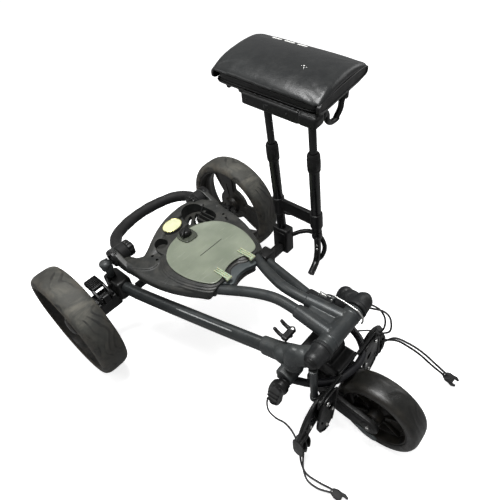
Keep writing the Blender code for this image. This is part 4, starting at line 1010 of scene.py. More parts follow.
# --------------------------------------------------------------------------------------- head
def knuckle():
    """Casting from the front end of the left main tube up to the pivot barrel."""
    path = spline([(-0.0770, -0.418, 0.1985), (-0.0710, -0.462, 0.208),
                   (-0.0720, -0.500, 0.234), (-0.0720, -0.530, 0.262)], 8)
    last = len(path) - 1
    scales = [1.0 + 0.06 * math.sin(math.pi * i / last) - 0.22 * max(0, (i / last - 0.6))
              for i in range(last + 1)]
    parts = [sweep(path, soft_rectangle(0.0160, 0.0220, 3, 0.25), (0, 0, 1), scales),
             ball((-0.0860, -0.5020, 0.2440), 0.020, (0.92, 1.10, 1.85)),
             ball((-0.0780, -0.4700, 0.2160), 0.020, (0.90, 1.2, 1.0)),
             rod_x(-0.0525, -0.0898, BARREL_Y, BARREL_Z, 0.0205, 40, 0.0138, 0.0016),
             torus((-0.0700, BARREL_Y, BARREL_Z), 0.0172, 0.0016, 'X', 48, 10),
             rod((-0.0830, -0.5080, 0.2560), (-0.0700, BARREL_Y, BARREL_Z), 0.0190, 40,
                 0.0180, 0.002),
             ball((-0.0810, -0.5180, 0.2640), 0.0190, (0.9, 1.25, 1.0))]
    for k in range(3):      # rib lines round the bulb
        parts.append(torus((-0.0865, -0.5020, 0.2300 + 0.0085 * k), 0.0194 - 0.0006 * k,
                           0.0012, 'Z', 48, 8))
    lug = [(-0.5120, 0.1860), (-0.5120, 0.2080), (-0.4880, 0.2160), (-0.4760, 0.2120),
           (-0.4760, 0.1900), (-0.4880, 0.1840)]
    parts.append(soft_prism(lug, 2, -0.1105, -0.0700, 'YZ'))
    return fuse(parts, 0.0012, 9)


def pivot_cap(side):
    profile = [(0, 0.0074), (0.0080, 0.0072), (0.0106, 0.0058), (0.0116, 0.0034),
               (0.0134, 0.0018), (0.0138, 0), (0, 0)]
    disc = lathe(soften_profile(facing(side, profile), 1), (side * 0.0899, BARREL_Y, BARREL_Z),
                 48, closed=False)
    return join([disc, torus((side * 0.0968, BARREL_Y, BARREL_Z), 0.0066, 0.0006, 'X', 40, 8)])


# Stepped cone between yoke and pivot cap: radius, distance from the middle.
BARREL_NOSE = [(0.0160, 0.0530), (0.0209, 0.0530), (0.0212, 0.0545), (0.0210, 0.0580),
               (0.0196, 0.0590), (0.0196, 0.0604), (0.0203, 0.0612), (0.0188, 0.0700),
               (0.0193, 0.0712), (0.0180, 0.0790), (0.0184, 0.0800), (0.0164, 0.0880),
               (0.0148, 0.0904), (0.0120, 0.0904), (0.0120, 0.0700)]
HANDLE_PATH = [(-0.0210, -0.5150, 0.2800), (-0.0185, -0.4900, 0.2795),
               (-0.0158, -0.4500, 0.2785), (-0.0155, -0.4150, 0.2775),
               (-0.0200, -0.3850, 0.2745), (-0.0330, -0.3450, 0.2690),
               (-0.0500, -0.3050, 0.2620), (-0.0660, -0.2710, 0.2568),
               (-0.0770, -0.2480, 0.2548)]


def yoke():
    """Pivot barrel with two sockets for the handle tubes."""
    half = [(0.0066, 0.0512), (0.0172, 0.0512), (0.0185, 0.0500), (0.0185, 0.0455),
            (0.0178, 0.0450), (0.0185, 0.0445)]
    parts = [lathe(facing(-1, half) + half[::-1], (0, BARREL_Y, BARREL_Z), 64)]
    for x in (0.034, -0.034):
        parts.append(torus((x, BARREL_Y, BARREL_Z), 0.0184, 0.0010, 'X', 64, 8))
    for way in WAYS:
        parts.append(rod((way * 0.0225, -0.5350, 0.2790), (way * 0.0160, -0.4560, 0.2786),
                         0.0152, 40, 0.0143, 0.0014))
    parts += [box((-0.0200, -0.5350, 0.2680), (0.0200, -0.4720, 0.2865), 0.004),
              box((0.0318, -0.5065, 0.2840), (0.0388, -0.4970, 0.3030), 0.002)]
    return cut(fuse(parts, 0.0010, 5),
               [rod((way * 0.0158, -0.4545, 0.2786), (way * 0.0163, -0.4600, 0.2787), 0.0120)
                for way in WAYS])


def head():
    outline = [(-0.4780, 0.150), (-0.4780, 0.200), (-0.4950, 0.220), (-0.5250, 0.225),
               (-0.5420, 0.215), (-0.5480, 0.150), (-0.5380, 0.124), (-0.4980, 0.124)]
    parts = [soft_prism(outline, 1, -0.0240, 0.0240, 'YZ'),
             box((-0.0560, -0.5150, 0.196), (0.0560, -0.4850, 0.226), 0.005),
             box((-0.0300, -0.5660, 0.158), (0.0300, -0.5300, 0.186), 0.004)]
    for z in (0.140, 0.165, 0.190):
        parts.append(box((-0.0262, -0.5400, z), (0.0262, -0.4900, z + 0.006), 0.002))
    return fuse(parts, 0.0014, 5)


def fork():
    arm = [(-0.5250, 0.1270), (-0.5250, 0.0860), (-0.5650, 0.0680), (-0.6100, 0.0640),
           (-0.6440, 0.0660), (-0.6580, 0.0720), (-0.6655, 0.0840), (-0.6655, 0.0950),
           (-0.6580, 0.1055), (-0.6440, 0.1100), (-0.6050, 0.1130), (-0.5650, 0.1210)]
    web = [(-0.545, 0.088), (-0.600, 0.0785), (-0.630, 0.0780), (-0.630, 0.0990),
           (-0.600, 0.1010), (-0.545, 0.112)]
    parts = [box((-0.0455, -0.5400, 0.0900), (0.0455, -0.4980, 0.1275), 0.006)]
    for way in WAYS:
        parts += [soft_prism(arm, 1, *span(way, 0.0350, 0.0455), 'YZ', 0.002),
                  prism(web, *span(way, 0.0450, 0.0475), 'YZ'),
                  rod_x(way * 0.0440, way * 0.0476, -WHEELBASE, FRONT_R, 0.0150,
                        bevel=0.0008)]
    return fuse(parts, 0.0012, 5)


# Lower flange of each fork arm; its pale colour is painted light, the flange lit from below.
FORK_FOOT = [(-0.6180, 0.0760), (-0.6250, 0.0640), (-0.6420, 0.0560), (-0.6620, 0.0560),
             (-0.6700, 0.0640), (-0.6640, 0.0735), (-0.6460, 0.0715)]     # y, z


def front_axle():
    """Axle with a washer, a hexagon and a dome at each end."""
    y, z = -WHEELBASE, FRONT_R
    parts = [rod_x(-0.0480, 0.0480, y, z, 0.0046, 24)]
    for way in WAYS:
        parts += [rod_x(way * 0.0476, way * 0.0486, y, z, 0.0070, bevel=0.0003),
                  rod_x(way * 0.0484, way * 0.0512, y, z, 0.0056, 6, bevel=0.0006),
                  rivet_head((way * 0.0510, y, z), (way, 0, 0), 0.0034, 0.0014)]
    return join(parts)


piece_pair(knuckle(), "head_knuckle", "knuckle", CASTING, angle=60, right_material=NOSE)
for side_name, side in SIDES:
    piece(pivot_cap(side), "pivot_end_cap_" + side_name, "pivot_cap_" + side_name, BLACK)
for side_name, side in SIDES:
    extra(lathe(facing(side, BARREL_NOSE), (0, BARREL_Y, BARREL_Z), 64),
          "barrel_nose_" + side_name, "chassis", NOSE)
piece_pair(tube(HANDLE_PATH, HANDLE_R, 40, 6), "handle_tube_form", "handle_tube", PAINT,
           angle=60)
piece(yoke(), "handle_yoke_body", "handle_yoke", PAINT, angle=60)
piece(head(), "head_casting", "head_block", BLACK, angle=60)
piece(fork(), "front_fork_body", "front_fork", BLACK, angle=60)
# Pale flange on each fork foot: painted light from below on the black fork.
for side_name, side in SIDES:
    extra(soft_prism(FORK_FOOT, 1, *span(side, 0.0452, 0.0480), 'YZ', 0.0006),
          "fork_foot_flange_painted_light_" + side_name, "chassis", PALE_LIP_AND_PAINTED_LIGHT)
piece(front_axle(), "front_axle_bolt", "front_axle", BOLT)


# --------------------------------------------------------------------------- lower bag cradle
def slot_cutter(points):
    """Cutter through the cradle's upright plates, from an outline in x, z."""
    return soft_prism(points, 1, -0.60, -0.54, 'XZ')


def edge_bead(points, y, radius, depth=None):
    """Raised bead along x, z points on an upright plate."""
    return sweep([(x, y, z) for x, z in points], circle(radius, 10, depth), (0, 1, 0))


CRADLE_HOOP = [(-0.0930, -0.468, 0.160), (-0.0900, -0.486, 0.161), (-0.0812, -0.5090, 0.1625),
               (-0.0690, -0.5320, 0.163), (-0.0390, -0.5610, 0.163), (-0.0020, -0.5740, 0.163),
               (0.0280, -0.5770, 0.163), (0.0520, -0.5700, 0.164), (0.0700, -0.5500, 0.168),
               (0.0790, -0.5250, 0.173), (0.0840, -0.500, 0.176)]


def bag_bracket():
    """Two wings joined by a bar across the middle."""
    wing = [(0.0300, 0.176), (0.0300, 0.186), (0.0960, 0.186), (0.1035, 0.180),
            (0.1035, 0.160), (0.0940, 0.151), (0.0780, 0.151), (0.0660, 0.160),
            (0.0500, 0.176)]
    window = [(0.0640, 0.1700), (0.0640, 0.1795), (0.0780, 0.1795), (0.0760, 0.1650)]
    rim = [(0.034, 0.1852), (0.066, 0.1852), (0.095, 0.1852), (0.1025, 0.1795),
           (0.1025, 0.1610), (0.0935, 0.1522), (0.0790, 0.1522)]
    parts = []
    for way in WAYS:
        outline = soften(across(way, wing), 1, 0.14)[::way]
        plate = prism(outline, -0.5720, -0.5662, 'XZ', 0.0012)
        cut(plate, [slot_cutter(across(way, window))])
        parts += [plate,
                  side_box(way, (0.0900, -0.5740, 0.1780), (0.1035, -0.5664, 0.1858), 0.002),
                  edge_bead(across(way, rim), -0.5690, 0.0036, 0.0013)]
    parts.append(box((-0.0310, -0.5680, 0.1740), (0.0310, -0.5625, 0.1830), 0.001))
    return join(parts)


def support_strut():
    return join([
        rod((-0.0905, -0.5470, 0.2600), (-0.0860, -0.5480, 0.1520), 0.0072, 36, bevel=0.0008),
        rod((-0.0907, -0.5470, 0.2520), (-0.0910, -0.5470, 0.2600), 0.0084, 36, bevel=0.001),
        rod((-0.0862, -0.5480, 0.1500), (-0.0866, -0.5480, 0.1640), 0.0084, 36, bevel=0.001)])


def bag_arm():
    """Left curved arm with a slotted cleat at its foot."""
    outline = [(-0.0700, 0.1680), (-0.0780, 0.1770), (-0.0960, 0.1770), (-0.1150, 0.1700),
               (-0.1350, 0.1540), (-0.1500, 0.1280), (-0.1575, 0.0980), (-0.1575, 0.0520),
               (-0.1520, 0.0380), (-0.1400, 0.0350), (-0.1310, 0.0400), (-0.1290, 0.0620),
               (-0.1240, 0.0800), (-0.1080, 0.0900), (-0.0920, 0.0960), (-0.0740, 0.1080),
               (-0.0640, 0.1280), (-0.0640, 0.1520)]
    face_y = -0.5640
    plate = soft_prism(outline, 1, face_y, -0.5580, 'XZ', 0.0012)
    cut(plate, [rod((-0.1130, -0.60, 0.1260), (-0.1130, -0.54, 0.1260), 0.0062, 24),
                slot_cutter([(-0.1400, 0.1080), (-0.1300, 0.1300), (-0.1240, 0.1260),
                             (-0.1280, 0.1020)])])
    beads = [(0.0026, [(-0.0800, 0.1750), (-0.0960, 0.1750), (-0.1140, 0.1680),
                       (-0.1335, 0.1525), (-0.1480, 0.1270), (-0.1550, 0.0980)]),
             (0.0024, [(-0.0665, 0.1500), (-0.0665, 0.1290), (-0.0755, 0.1100),
                       (-0.0925, 0.0985), (-0.1090, 0.0925), (-0.1260, 0.0820)]),
             (0.0018, [(-0.0870, 0.1500), (-0.1000, 0.1380), (-0.1220, 0.1340)])]
    parts = [plate] + [edge_bead(points, face_y + 0.0014, radius) for radius, points in beads]
    parts.append(rod((-0.087, -0.5655, 0.166), (-0.087, -0.5575, 0.166), 0.0095, 28,
                     bevel=0.001))
    # the cleat: three rounded blades joined by cross bars
    low = 0.0350
    for x0, x1, y0, y1, top in ((-0.1585, -0.1555, -0.5740, -0.5480, 0.1000),
                                (-0.1462, -0.1432, -0.5750, -0.5470, 0.0960),
                                (-0.1340, -0.1310, -0.5740, -0.5480, 0.0930)):
        blade = [(y0, top), (y0 + 0.001, low + 0.008), (y0 + 0.008, low), (y1 - 0.006, low),
                 (y1, low + 0.010), (y1, top)]
        parts.append(soft_prism(blade, 2, x0, x1, 'YZ', 0.0010))
    for z in (0.0440, 0.0640, 0.0850):
        parts.append(box((-0.1575, -0.5600, z), (-0.1320, -0.5560, z + 0.0045), 0.001))
    parts.append(box((-0.1580, -0.5700, 0.0930), (-0.1320, -0.5520, 0.1000), 0.0025))
    for z in (0.0780, 0.0520):
        parts.append(rod_x(-0.1580, -0.1316, face_y, z, 0.0024, 14))
    return join([fuse(parts, 0.0009, 3),
                 rod((-0.087, -0.5790, 0.166), (-0.087, -0.5575, 0.166), 0.0030, 16)])


# x, y, z, radius, height
BAG_ARM_RIVETS = [(0.087, -0.5788, 0.166, 0.0046, 0.0024),
                  (0.0810, -0.5640, 0.1180, 0.0050, 0.0030),
                  (0.1180, -0.5640, 0.1020, 0.0046, 0.0028)]
FOOT_RIVETS = [(0.0620, 0.1060), (0.0800, 0.0660)]     # x, z


def foot_plate(side):
    outline = [(0.0440, 0.1760), (0.0980, 0.1760), (0.1060, 0.1560), (0.1120, 0.1240),
               (0.1140, 0.0960), (0.1060, 0.0700), (0.0900, 0.0520), (0.0740, 0.0480),
               (0.0610, 0.0600), (0.0560, 0.0900), (0.0500, 0.1300)]
    windows = [[(0.0960, 0.1020), (0.1030, 0.1100), (0.1010, 0.0960), (0.0940, 0.0900)],
               [(0.0620, 0.1380), (0.0800, 0.1380), (0.0760, 0.1180), (0.0640, 0.1180)]]
    outer_rim = [(0.0975, 0.1740), (0.1045, 0.1555), (0.1103, 0.1240), (0.1122, 0.0965),
                 (0.1048, 0.0712), (0.0893, 0.0538), (0.0745, 0.0500)]
    inner_rim = [(0.0520, 0.1700), (0.0530, 0.1300), (0.0585, 0.0900), (0.0628, 0.0615)]
    plate = soft_prism(across(side, outline)[::-side], 2, -0.5765, -0.5722, 'XZ', 0.0010)
    cut(plate, [slot_cutter(across(side, window)) for window in windows])
    return join([plate, edge_bead(across(side, outer_rim), -0.5766, 0.0020),
                 edge_bead(across(side, inner_rim), -0.5766, 0.0018)])


def rest_pad(side):
    x0, x1 = span(side, 0.0895, 0.0780)
    parts = [box((x0, -0.5712, 0.0480), (x1, -0.5655, 0.1530), 0.0018)]
    for k in range(5):
        x = x0 + 0.0016 + k * (x1 - x0 - 0.0032) / 4
        parts.append(box((x - 0.0008, -0.5728, 0.0500), (x + 0.0008, -0.5700, 0.0960),
                         0.0006, 2))
    parts.append(box((x0 - 0.0015, -0.5722, 0.0940), (x1 + 0.0015, -0.5650, 0.0990), 0.001))
    return join(parts)


def strap_arm():
    """Left hanging arm: a plate, a thicker raised middle and three ribs."""
    outer = [(-0.5130, 0.2060), (-0.5150, 0.1880), (-0.5060, 0.1740), (-0.4985, 0.1480),
             (-0.4955, 0.1230), (-0.4880, 0.1060), (-0.4790, 0.0980), (-0.4690, 0.1020),
             (-0.4640, 0.1220), (-0.4680, 0.1560), (-0.4760, 0.1860), (-0.4860, 0.2040),
             (-0.5000, 0.2120)]
    inner = [(-0.5080, 0.1960), (-0.5010, 0.1720), (-0.4940, 0.1460), (-0.4905, 0.1230),
             (-0.4800, 0.1080), (-0.4715, 0.1120), (-0.4710, 0.1300), (-0.4750, 0.1600),
             (-0.4830, 0.1900), (-0.4930, 0.2040)]
    window = [(-0.4890, 0.1250), (-0.4860, 0.1160), (-0.4780, 0.1140), (-0.4760, 0.1240),
              (-0.4830, 0.1290)]
    parts = [soft_prism(outer, 2, -0.1300, -0.1195, 'YZ', 0.0016),
             soft_prism(inner, 2, -0.1350, -0.1150, 'YZ', 0.0018)]
    for start, end in (((-0.5010, 0.1700), (-0.4740, 0.1640)),
                       ((-0.4960, 0.1500), (-0.4700, 0.1450)),
                       ((-0.4930, 0.1300), (-0.4680, 0.1260))):
        parts.append(rod((-0.1355, *start), (-0.1355, *end), 0.0016, 12))
    pivot = (-0.500, 0.1950)
    parts += [rod_x(-0.1320, -0.1130, *pivot, 0.0125, bevel=0.0015),
              torus((-0.1250, -0.4780, 0.1020), 0.0060, 0.0022, 'X', 28, 10)]
    body = cut(fuse(parts, 0.0009, 3), [soft_prism(window, 1, -0.14, -0.13, 'YZ')])
    return join([body, rod_x(-0.1200, -0.1010, *pivot, 0.0042, 20),
                 rivet_head((-0.1318, *pivot), (-1, 0, 0), 0.0060, 0.0030)])


def strap_clip():
    prong = [(-0.4600, 0.2440), (-0.4420, 0.2505), (-0.4350, 0.2600), (-0.4400, 0.2630),
             (-0.4480, 0.2570), (-0.4600, 0.2545)]
    parts = [box((-0.0690, -0.4700, 0.2440), (-0.0360, -0.4560, 0.2540), 0.003)]
    for x in (-0.0670, -0.0450):
        parts.append(soft_prism(prong, 1, x, x + 0.0055, 'YZ', 0.0008))
    parts.append(rod((-0.0460, -0.4630, 0.2330), (-0.0460, -0.4630, 0.2460), 0.0042, 20))
    return fuse(parts, 0.0008, 3)


piece(tube(CRADLE_HOOP, 0.0078, 28, 8, round_end=0.003), "cradle_hoop_tube", "cradle_hoop",
      HOOP, angle=60)
piece(bag_bracket(), "bag_bracket_plate", "bag_bracket", BLACK)
piece(support_strut(), "support_strut_tube", "support_strut", PAINT)
piece_pair(bag_arm(), "bag_arm_body", "bag_arm", BLACK)
for side_name, side in SIDES:
    for i, (x, y, z, radius, height) in enumerate(BAG_ARM_RIVETS):
        extra(rivet_head((side * x, y, z), (0, -1, 0), radius, height),
              "bag_arm_rivet_%s_%d" % (side_name, i + 1), side_name + "_bag_arm", STEEL)
for side_name, side in SIDES:
    extra(foot_plate(side), "cradle_foot_plate_" + side_name, "chassis", BLACK)
    for i, (x, z) in enumerate(FOOT_RIVETS):
        extra(rivet_head((side * x, -0.5764, z), (0, -1, 0), 0.0048, 0.0026),
              "cradle_foot_rivet_%s_%d" % (side_name, i + 1), "chassis", STEEL)
for side_name, side in SIDES:
    piece(rest_pad(side), "ribbed_rest_" + side_name, "rest_pad_" + side_name, RUBBER)
piece_pair(strap_arm(), "strap_arm_body", "strap_arm", BLACK)
piece(strap_clip(), "strap_clip_body", "strap_clip", BLACK)
extra(rivet_head((-0.0400, -0.4640, 0.2538), (0, 0, 1), 0.0048, 0.0022), "strap_clip_bolt",
      "chassis", STEEL)

# ------------------------------------------------------------------------------------ console
# Outline of the tray in x, y: front edge, right flank, rear edge, then the flank mirrored.
CONSOLE_FRONT = [(-0.0459, -0.2900), (-0.036, -0.3040), (-0.0152, -0.2985), (0.0, -0.2970),
                 (0.0152, -0.2985), (0.036, -0.3040), (0.0459, -0.2900)]
CONSOLE_FLANK = [(0.0560, -0.2830), (0.0720, -0.2800), (0.0860, -0.2800), (0.0960, -0.2620),
                 (0.1085, -0.2400), (0.1275, -0.1960), (0.1395, -0.1450), (0.1445, -0.0890),
                 (0.1470, -0.0430), (0.1340, -0.0330)]
CONSOLE_REAR = [(0.1130, -0.0300), (0.0920, -0.0240), (0.0700, -0.0225), (0.0350, -0.0270),
                (0.0060, -0.0350), (-0.0230, -0.0455), (-0.0500, -0.0600), (-0.0700, -0.0725),
                (-0.0850, -0.0775), (-0.0990, -0.0760), (-0.1080, -0.0660), (-0.1140, -0.0500),
                (-0.1240, -0.0380)]
CONSOLE_OUTLINE = spline_loop(CONSOLE_FRONT + CONSOLE_FLANK + CONSOLE_REAR
                              + across(-1, reversed(CONSOLE_FLANK)), 4)
# inset, bottom, top
CONSOLE_LAYERS = [(0.0055, 0.2440, 0.2500), (0.0, 0.2462, 0.2484), (0.0022, 0.2470, 0.2540),
                  (0.0, 0.2510, 0.2608), (0.0016, 0.2600, 0.2636), (0.0042, 0.2600, 0.2660),
                  (0.0075, 0.2600, 0.2682)]
# Raised plateau round the lid: right half outline, then (inset, top) of each step.
PLATEAU_HALF = [(0, -0.262), (0.018, -0.266), (0.030, -0.276), (0.050, -0.283),
                (0.068, -0.276), (0.080, -0.256), (0.092, -0.222), (0.097, -0.190),
                (0.093, -0.160), (0.078, -0.136), (0.055, -0.117), (0.028, -0.106),
                (0, -0.103)]
PLATEAU_STEPS = [(-0.016, 0.2700), (-0.011, 0.2730), (-0.006, 0.2758), (-0.002, 0.2780)]
# Web between the left arm and the crest.
LEFT_WEB = [(-0.1340, -0.0560), (-0.1120, -0.0745), (-0.0960, -0.0830), (-0.0760, -0.0800),
            (-0.0680, -0.1000), (-0.0880, -0.1260), (-0.1180, -0.1260), (-0.1380, -0.0900)]
# Rear crest that carries the badge, x, y, z.
CREST_PATH = [(-0.0980, -0.0920, 0.2660), (-0.0760, -0.0860, 0.2725),
              (-0.0480, -0.0720, 0.2785), (-0.0200, -0.0590, 0.2820),
              (0.0100, -0.0490, 0.2840), (0.0400, -0.0430, 0.2840), (0.0700, -0.0400, 0.2825),
              (0.0980, -0.0440, 0.2790), (0.1180, -0.0600, 0.2740), (0.1260, -0.0900, 0.2700)]
CREST_SECTION = [(-0.0160, -0.0130), (0.0160, -0.0130), (0.0140, 0.0030), (-0.0140, 0.0030)]
CREST_FOOT = [(-0.070, -0.095), (-0.030, -0.078), (0.000, -0.068), (0.030, -0.060),
              (0.030, -0.100), (0.0, -0.108), (-0.040, -0.116), (-0.070, -0.128)]
# Raised wall and stepped openings of the storage bin on the right.
BIN_WALL = [(0.030, -0.050), (0.070, -0.034), (0.105, -0.040), (0.122, -0.070),
            (0.124, -0.120), (0.105, -0.150), (0.070, -0.140), (0.030, -0.110)]
BIN_OPENING = [(0.0472, -0.0520), (0.0697, -0.0410), (0.0898, -0.0465), (0.1020, -0.0600),
               (0.1060, -0.0867), (0.1050, -0.1095), (0.0955, -0.1250), (0.0760, -0.1300),
               (0.0617, -0.1190), (0.0498, -0.1055), (0.0370, -0.0970), (0.0375, -0.0740)]
BIN_SLOTS = [[(0.0430, -0.0700), (0.0540, -0.0600), (0.0660, -0.0515), (0.0740, -0.0500),
              (0.0720, -0.0570), (0.0600, -0.0660), (0.0500, -0.0745), (0.0440, -0.0760)],
             [(0.0590, -0.0770), (0.0700, -0.0690), (0.0800, -0.0590), (0.0900, -0.0540),
              (0.0900, -0.0620), (0.0810, -0.0740), (0.0680, -0.0850), (0.0610, -0.0860)]]
# Side arms that end in the clamp eyes, in y, z, and the rails that run up to them.
CLAMP_EAR = [(-0.085, 0.2480), (-0.0450, 0.2465), (-0.0180, 0.2500), (-0.0070, 0.2600),
             (-0.0065, 0.2790), (-0.0170, 0.2890), (-0.0360, 0.2895), (-0.0550, 0.2800),
             (-0.085, 0.2660)]
SIDE_RAIL = [(0.0860, -0.2330, 0.2540), (0.1060, -0.2000, 0.2545), (0.1210, -0.1550, 0.2555),
             (0.1300, -0.1100, 0.2575), (0.1370, -0.0700, 0.2620)]
SOCKET_FRONT, SOCKET_REAR = (0.0640, -0.2760, 0.2570), (0.0900, -0.2240, 0.2530)
CUP_X, CUP_Y = -0.0530, -0.0920
TEE_HOLES = [(-0.0880, -0.1000), (-0.0890, -0.1180), (0.1130, -0.1330), (0.1070, -0.1480)]


def cup_crescent():
    """Crescent slot in the floor of the left cup."""
    outer = [math.radians(d) for d in range(95, 260, 12)]
    inner = [math.radians(d) for d in range(256, 96, -12)]
    return ([(CUP_X + 0.0120 * math.cos(a), CUP_Y + 0.0120 * math.sin(a)) for a in outer]
            + [(CUP_X + 0.0075 * math.cos(a), CUP_Y + 0.0115 * math.sin(a)) for a in inner])


def console():
    parts = [prism(inset(CONSOLE_OUTLINE, d), low, high) for d, low, high in CONSOLE_LAYERS]
    parts.append(prism(spline_loop(LEFT_WEB, 4), 0.2560, 0.2715))
    plateau = spline_loop(mirror_outline(PLATEAU_HALF), 4)
    for distance, top in PLATEAU_STEPS:
        outline = [(x, max(y, -0.288)) for x, y in inset(plateau, distance)]
        parts.append(prism(outline, 0.2560, top))
    parts += [sweep(spline(CREST_PATH, 5), soften(CREST_SECTION, 2)),
              prism(spline_loop(CREST_FOOT, 4), 0.2560, 0.2785),
              prism(spline_loop(BIN_WALL, 4), 0.2500, 0.2750)]
    for way in WAYS:
        parts.append(soft_prism(CLAMP_EAR, 2, *span(way, 0.1340, 0.1478), 'YZ', 0.002))
        parts.append(rod(*across(way, [SOCKET_FRONT, SOCKET_REAR]), 0.0150, 36, 0.0140,
                         0.0012))
        parts.append(sweep(spline(across(way, SIDE_RAIL), 6), circle(0.0115, 20)))
    cutters = [prism(spline_loop(BIN_OPENING, 5), 0.2550, 0.32)]
    cutters += [prism(spline_loop(slot, 5), 0.20, 0.32) for slot in BIN_SLOTS]
    cutters += [rod((CUP_X, CUP_Y, 0.2630), (CUP_X, CUP_Y, 0.32), 0.0150, 40, 0.0190),
                prism(cup_crescent(), 0.20, 0.27)]
    cutters += [rod((x, y, 0.22), (x, y, 0.30), 0.0034, 20) for x, y in TEE_HOLES]
    body = cut(fuse(parts, 0.0013, 7), cutters)
    # dividers and studs inside the storage bin
    return join([
        body,
        box((0.0700, -0.1180, 0.2520), (0.0725, -0.0780, 0.2660), 0.0006),
        box((0.0830, -0.1220, 0.2520), (0.0850, -0.0720, 0.2680), 0.0006),
        box((0.0930, -0.1180, 0.2520), (0.0950, -0.0700, 0.2690), 0.0006),
        rod((0.0980, -0.0800, 0.2520), (0.0980, -0.0800, 0.2700), 0.0040, 20, bevel=0.0006),
        rod((0.0660, -0.1080, 0.2520), (0.0660, -0.1080, 0.2650), 0.0045, 20, bevel=0.0006)])


# Front lip between the handle tubes, x, y.
LIP_OUTLINE = [(-0.0465, -0.2900), (-0.0370, -0.3060), (-0.0152, -0.2985), (0.0, -0.2968),
               (0.0152, -0.2985), (0.0370, -0.3060), (0.0465, -0.2900), (0.0560, -0.2820),
               (0.0400, -0.2760), (0.0, -0.2660), (-0.0400, -0.2760), (-0.0560, -0.2820)]
BIN_CORD = [(0.0470, -0.1020, 0.2760), (0.0640, -0.0930, 0.2800), (0.0800, -0.0860, 0.2770),
            (0.0940, -0.0740, 0.2745), (0.1080, -0.0660, 0.2765)]
SOCKET_SEAM = [(0.0112, 0), (0.0146, 0), (0.0150, 0.0010), (0.0146, 0.0022), (0.0112, 0.0022)]


def add_badge():
    """Plain pale oval in a thin gold rim, on a seat, tilted with the crest."""
    tilt = (Matrix.Translation(Vector((0.0005, -0.0720, 0.2868)))
            @ Matrix.Rotation(math.radians(-2), 4, 'Z')
            @ Matrix.Rotation(math.radians(4), 4, 'X'))
    half_x, half_y, sides = 0.0250, 0.0185, 48

    def ovals(a, b, rows):
        """One oval for each (share, height) row."""
        return [[tilt @ Vector((a * share * math.cos(t), b * share * math.sin(t), height))
                 for t in angles(sides)] for share, height in rows]

    plate = loft(ovals(half_x, half_y, [(0.90, 0.0014), (0.97, 0.0008), (0.97, -0.001)]))
    seat = loft(ovals(0.0262, 0.0197, [(0.96, 0.0), (1.0, -0.0010), (1.04, -0.0120)]))
    rings = []
    for t in angles(sides):
        centre = Vector((half_x * math.cos(t), half_y * math.sin(t), 0.0004))
        outward = Vector((math.cos(t), math.sin(t), 0)).normalized()
        rings.append([tilt @ (centre + outward * (0.0009 * math.cos(b))
                              + Vector((0, 0, 0.0012 * math.sin(b)))) for b in angles(8)])
    extra(seat, "console_badge_seat", "handle", CONSOLE)
    rim = loft(rings, loop=True)
    extra(plate, "console_badge_plate", "handle", BADGE)
    extra(rim, "console_badge_rim", "handle", BADGE_RIM)


LID_HALF = [(0, -0.2685), (0.020, -0.2715), (0.034, -0.2780), (0.050, -0.2835),
            (0.066, -0.2800), (0.0770, -0.2640), (0.0885, -0.2320), (0.0925, -0.2020),
            (0.0900, -0.1700), (0.078, -0.1420), (0.056, -0.1210), (0.030, -0.1105),
            (0, -0.1065)]
# inset, height
LID_EDGE = [(0.0016, 0.2795), (0.0, 0.2803), (0.0, 0.2818), (0.0012, 0.2826),
            (0.0034, 0.2826), (0.0044, 0.2820)]


def lid():
    outline = spline_loop(mirror_outline(LID_HALF), 5)
    return loft([[(x, y, z) for x, y in inset(outline, d)] for d, z in LID_EDGE])


def hinge_tab(side):
    x = side * 0.037
    return join([
        box((x - 0.0062, -0.2960, 0.2822), (x - 0.0036, -0.2570, 0.2862), 0.0007),
        box((x + 0.0036, -0.2960, 0.2822), (x + 0.0062, -0.2570, 0.2862), 0.0007),
        box((x - 0.0060, -0.2975, 0.2820), (x + 0.0060, -0.2640, 0.2838), 0.0006),
        rod_x(x - 0.0072, x + 0.0072, -0.296, 0.2815, 0.0036, 24, bevel=0.0005),
        box((x - 0.0010, -0.2920, 0.2830), (x + 0.0010, -0.2590, 0.2858), 0.0005)])


LATCH_PLATE = [(-0.0200, -0.1400), (-0.0130, -0.1470), (0.0110, -0.1490), (0.0190, -0.1420),
               (0.0210, -0.1180), (0.0160, -0.1080), (-0.0160, -0.1060), (-0.0220, -0.1160)]


def lid_knob():
    """Fluted hub with a wing across its top."""
    base = Vector((0, -0.1215, 0.2826))
    hub = lathe(soften_profile([(0, 0.002), (0.0120, 0.002), (0.0132, 0.004),
                                (0.0132, 0.0110), (0.0120, 0.0145), (0.0090, 0.0165),
                                (0, 0.0172)], 1), base, 48, 'Z', closed=False)
    turn, reach = 0.5, 0.0190       # wing: angle from +X in radians, half length
    wing_path = [base + Vector((math.cos(turn) * x, math.sin(turn) * x,
                                0.0150 - 0.0035 * (x / 0.019) ** 2))
                 for x in (-reach, -0.0120, -0.0050, 0.0, 0.0050, 0.0120, reach)]
    wing_section = soften([(-0.0042, -0.0070), (0.0042, -0.0070), (0.0030, 0.0062),
                           (-0.0030, 0.0062)], 2)
    wing = sweep(wing_path, wing_section, (0, 0, 1), [0.75, 0.95, 1.0, 1.0, 1.0, 0.95, 0.75])
    flutes = [rod((base.x + 0.0130 * math.cos(a), base.y + 0.0130 * math.sin(a),
                   base.z + 0.0030),
                  (base.x + 0.0128 * math.cos(a), base.y + 0.0128 * math.sin(a),
                   base.z + 0.0125), 0.0014, 8) for a in angles(18)]
    return join([fuse([hub, wing], 0.0006, 3)] + flutes)


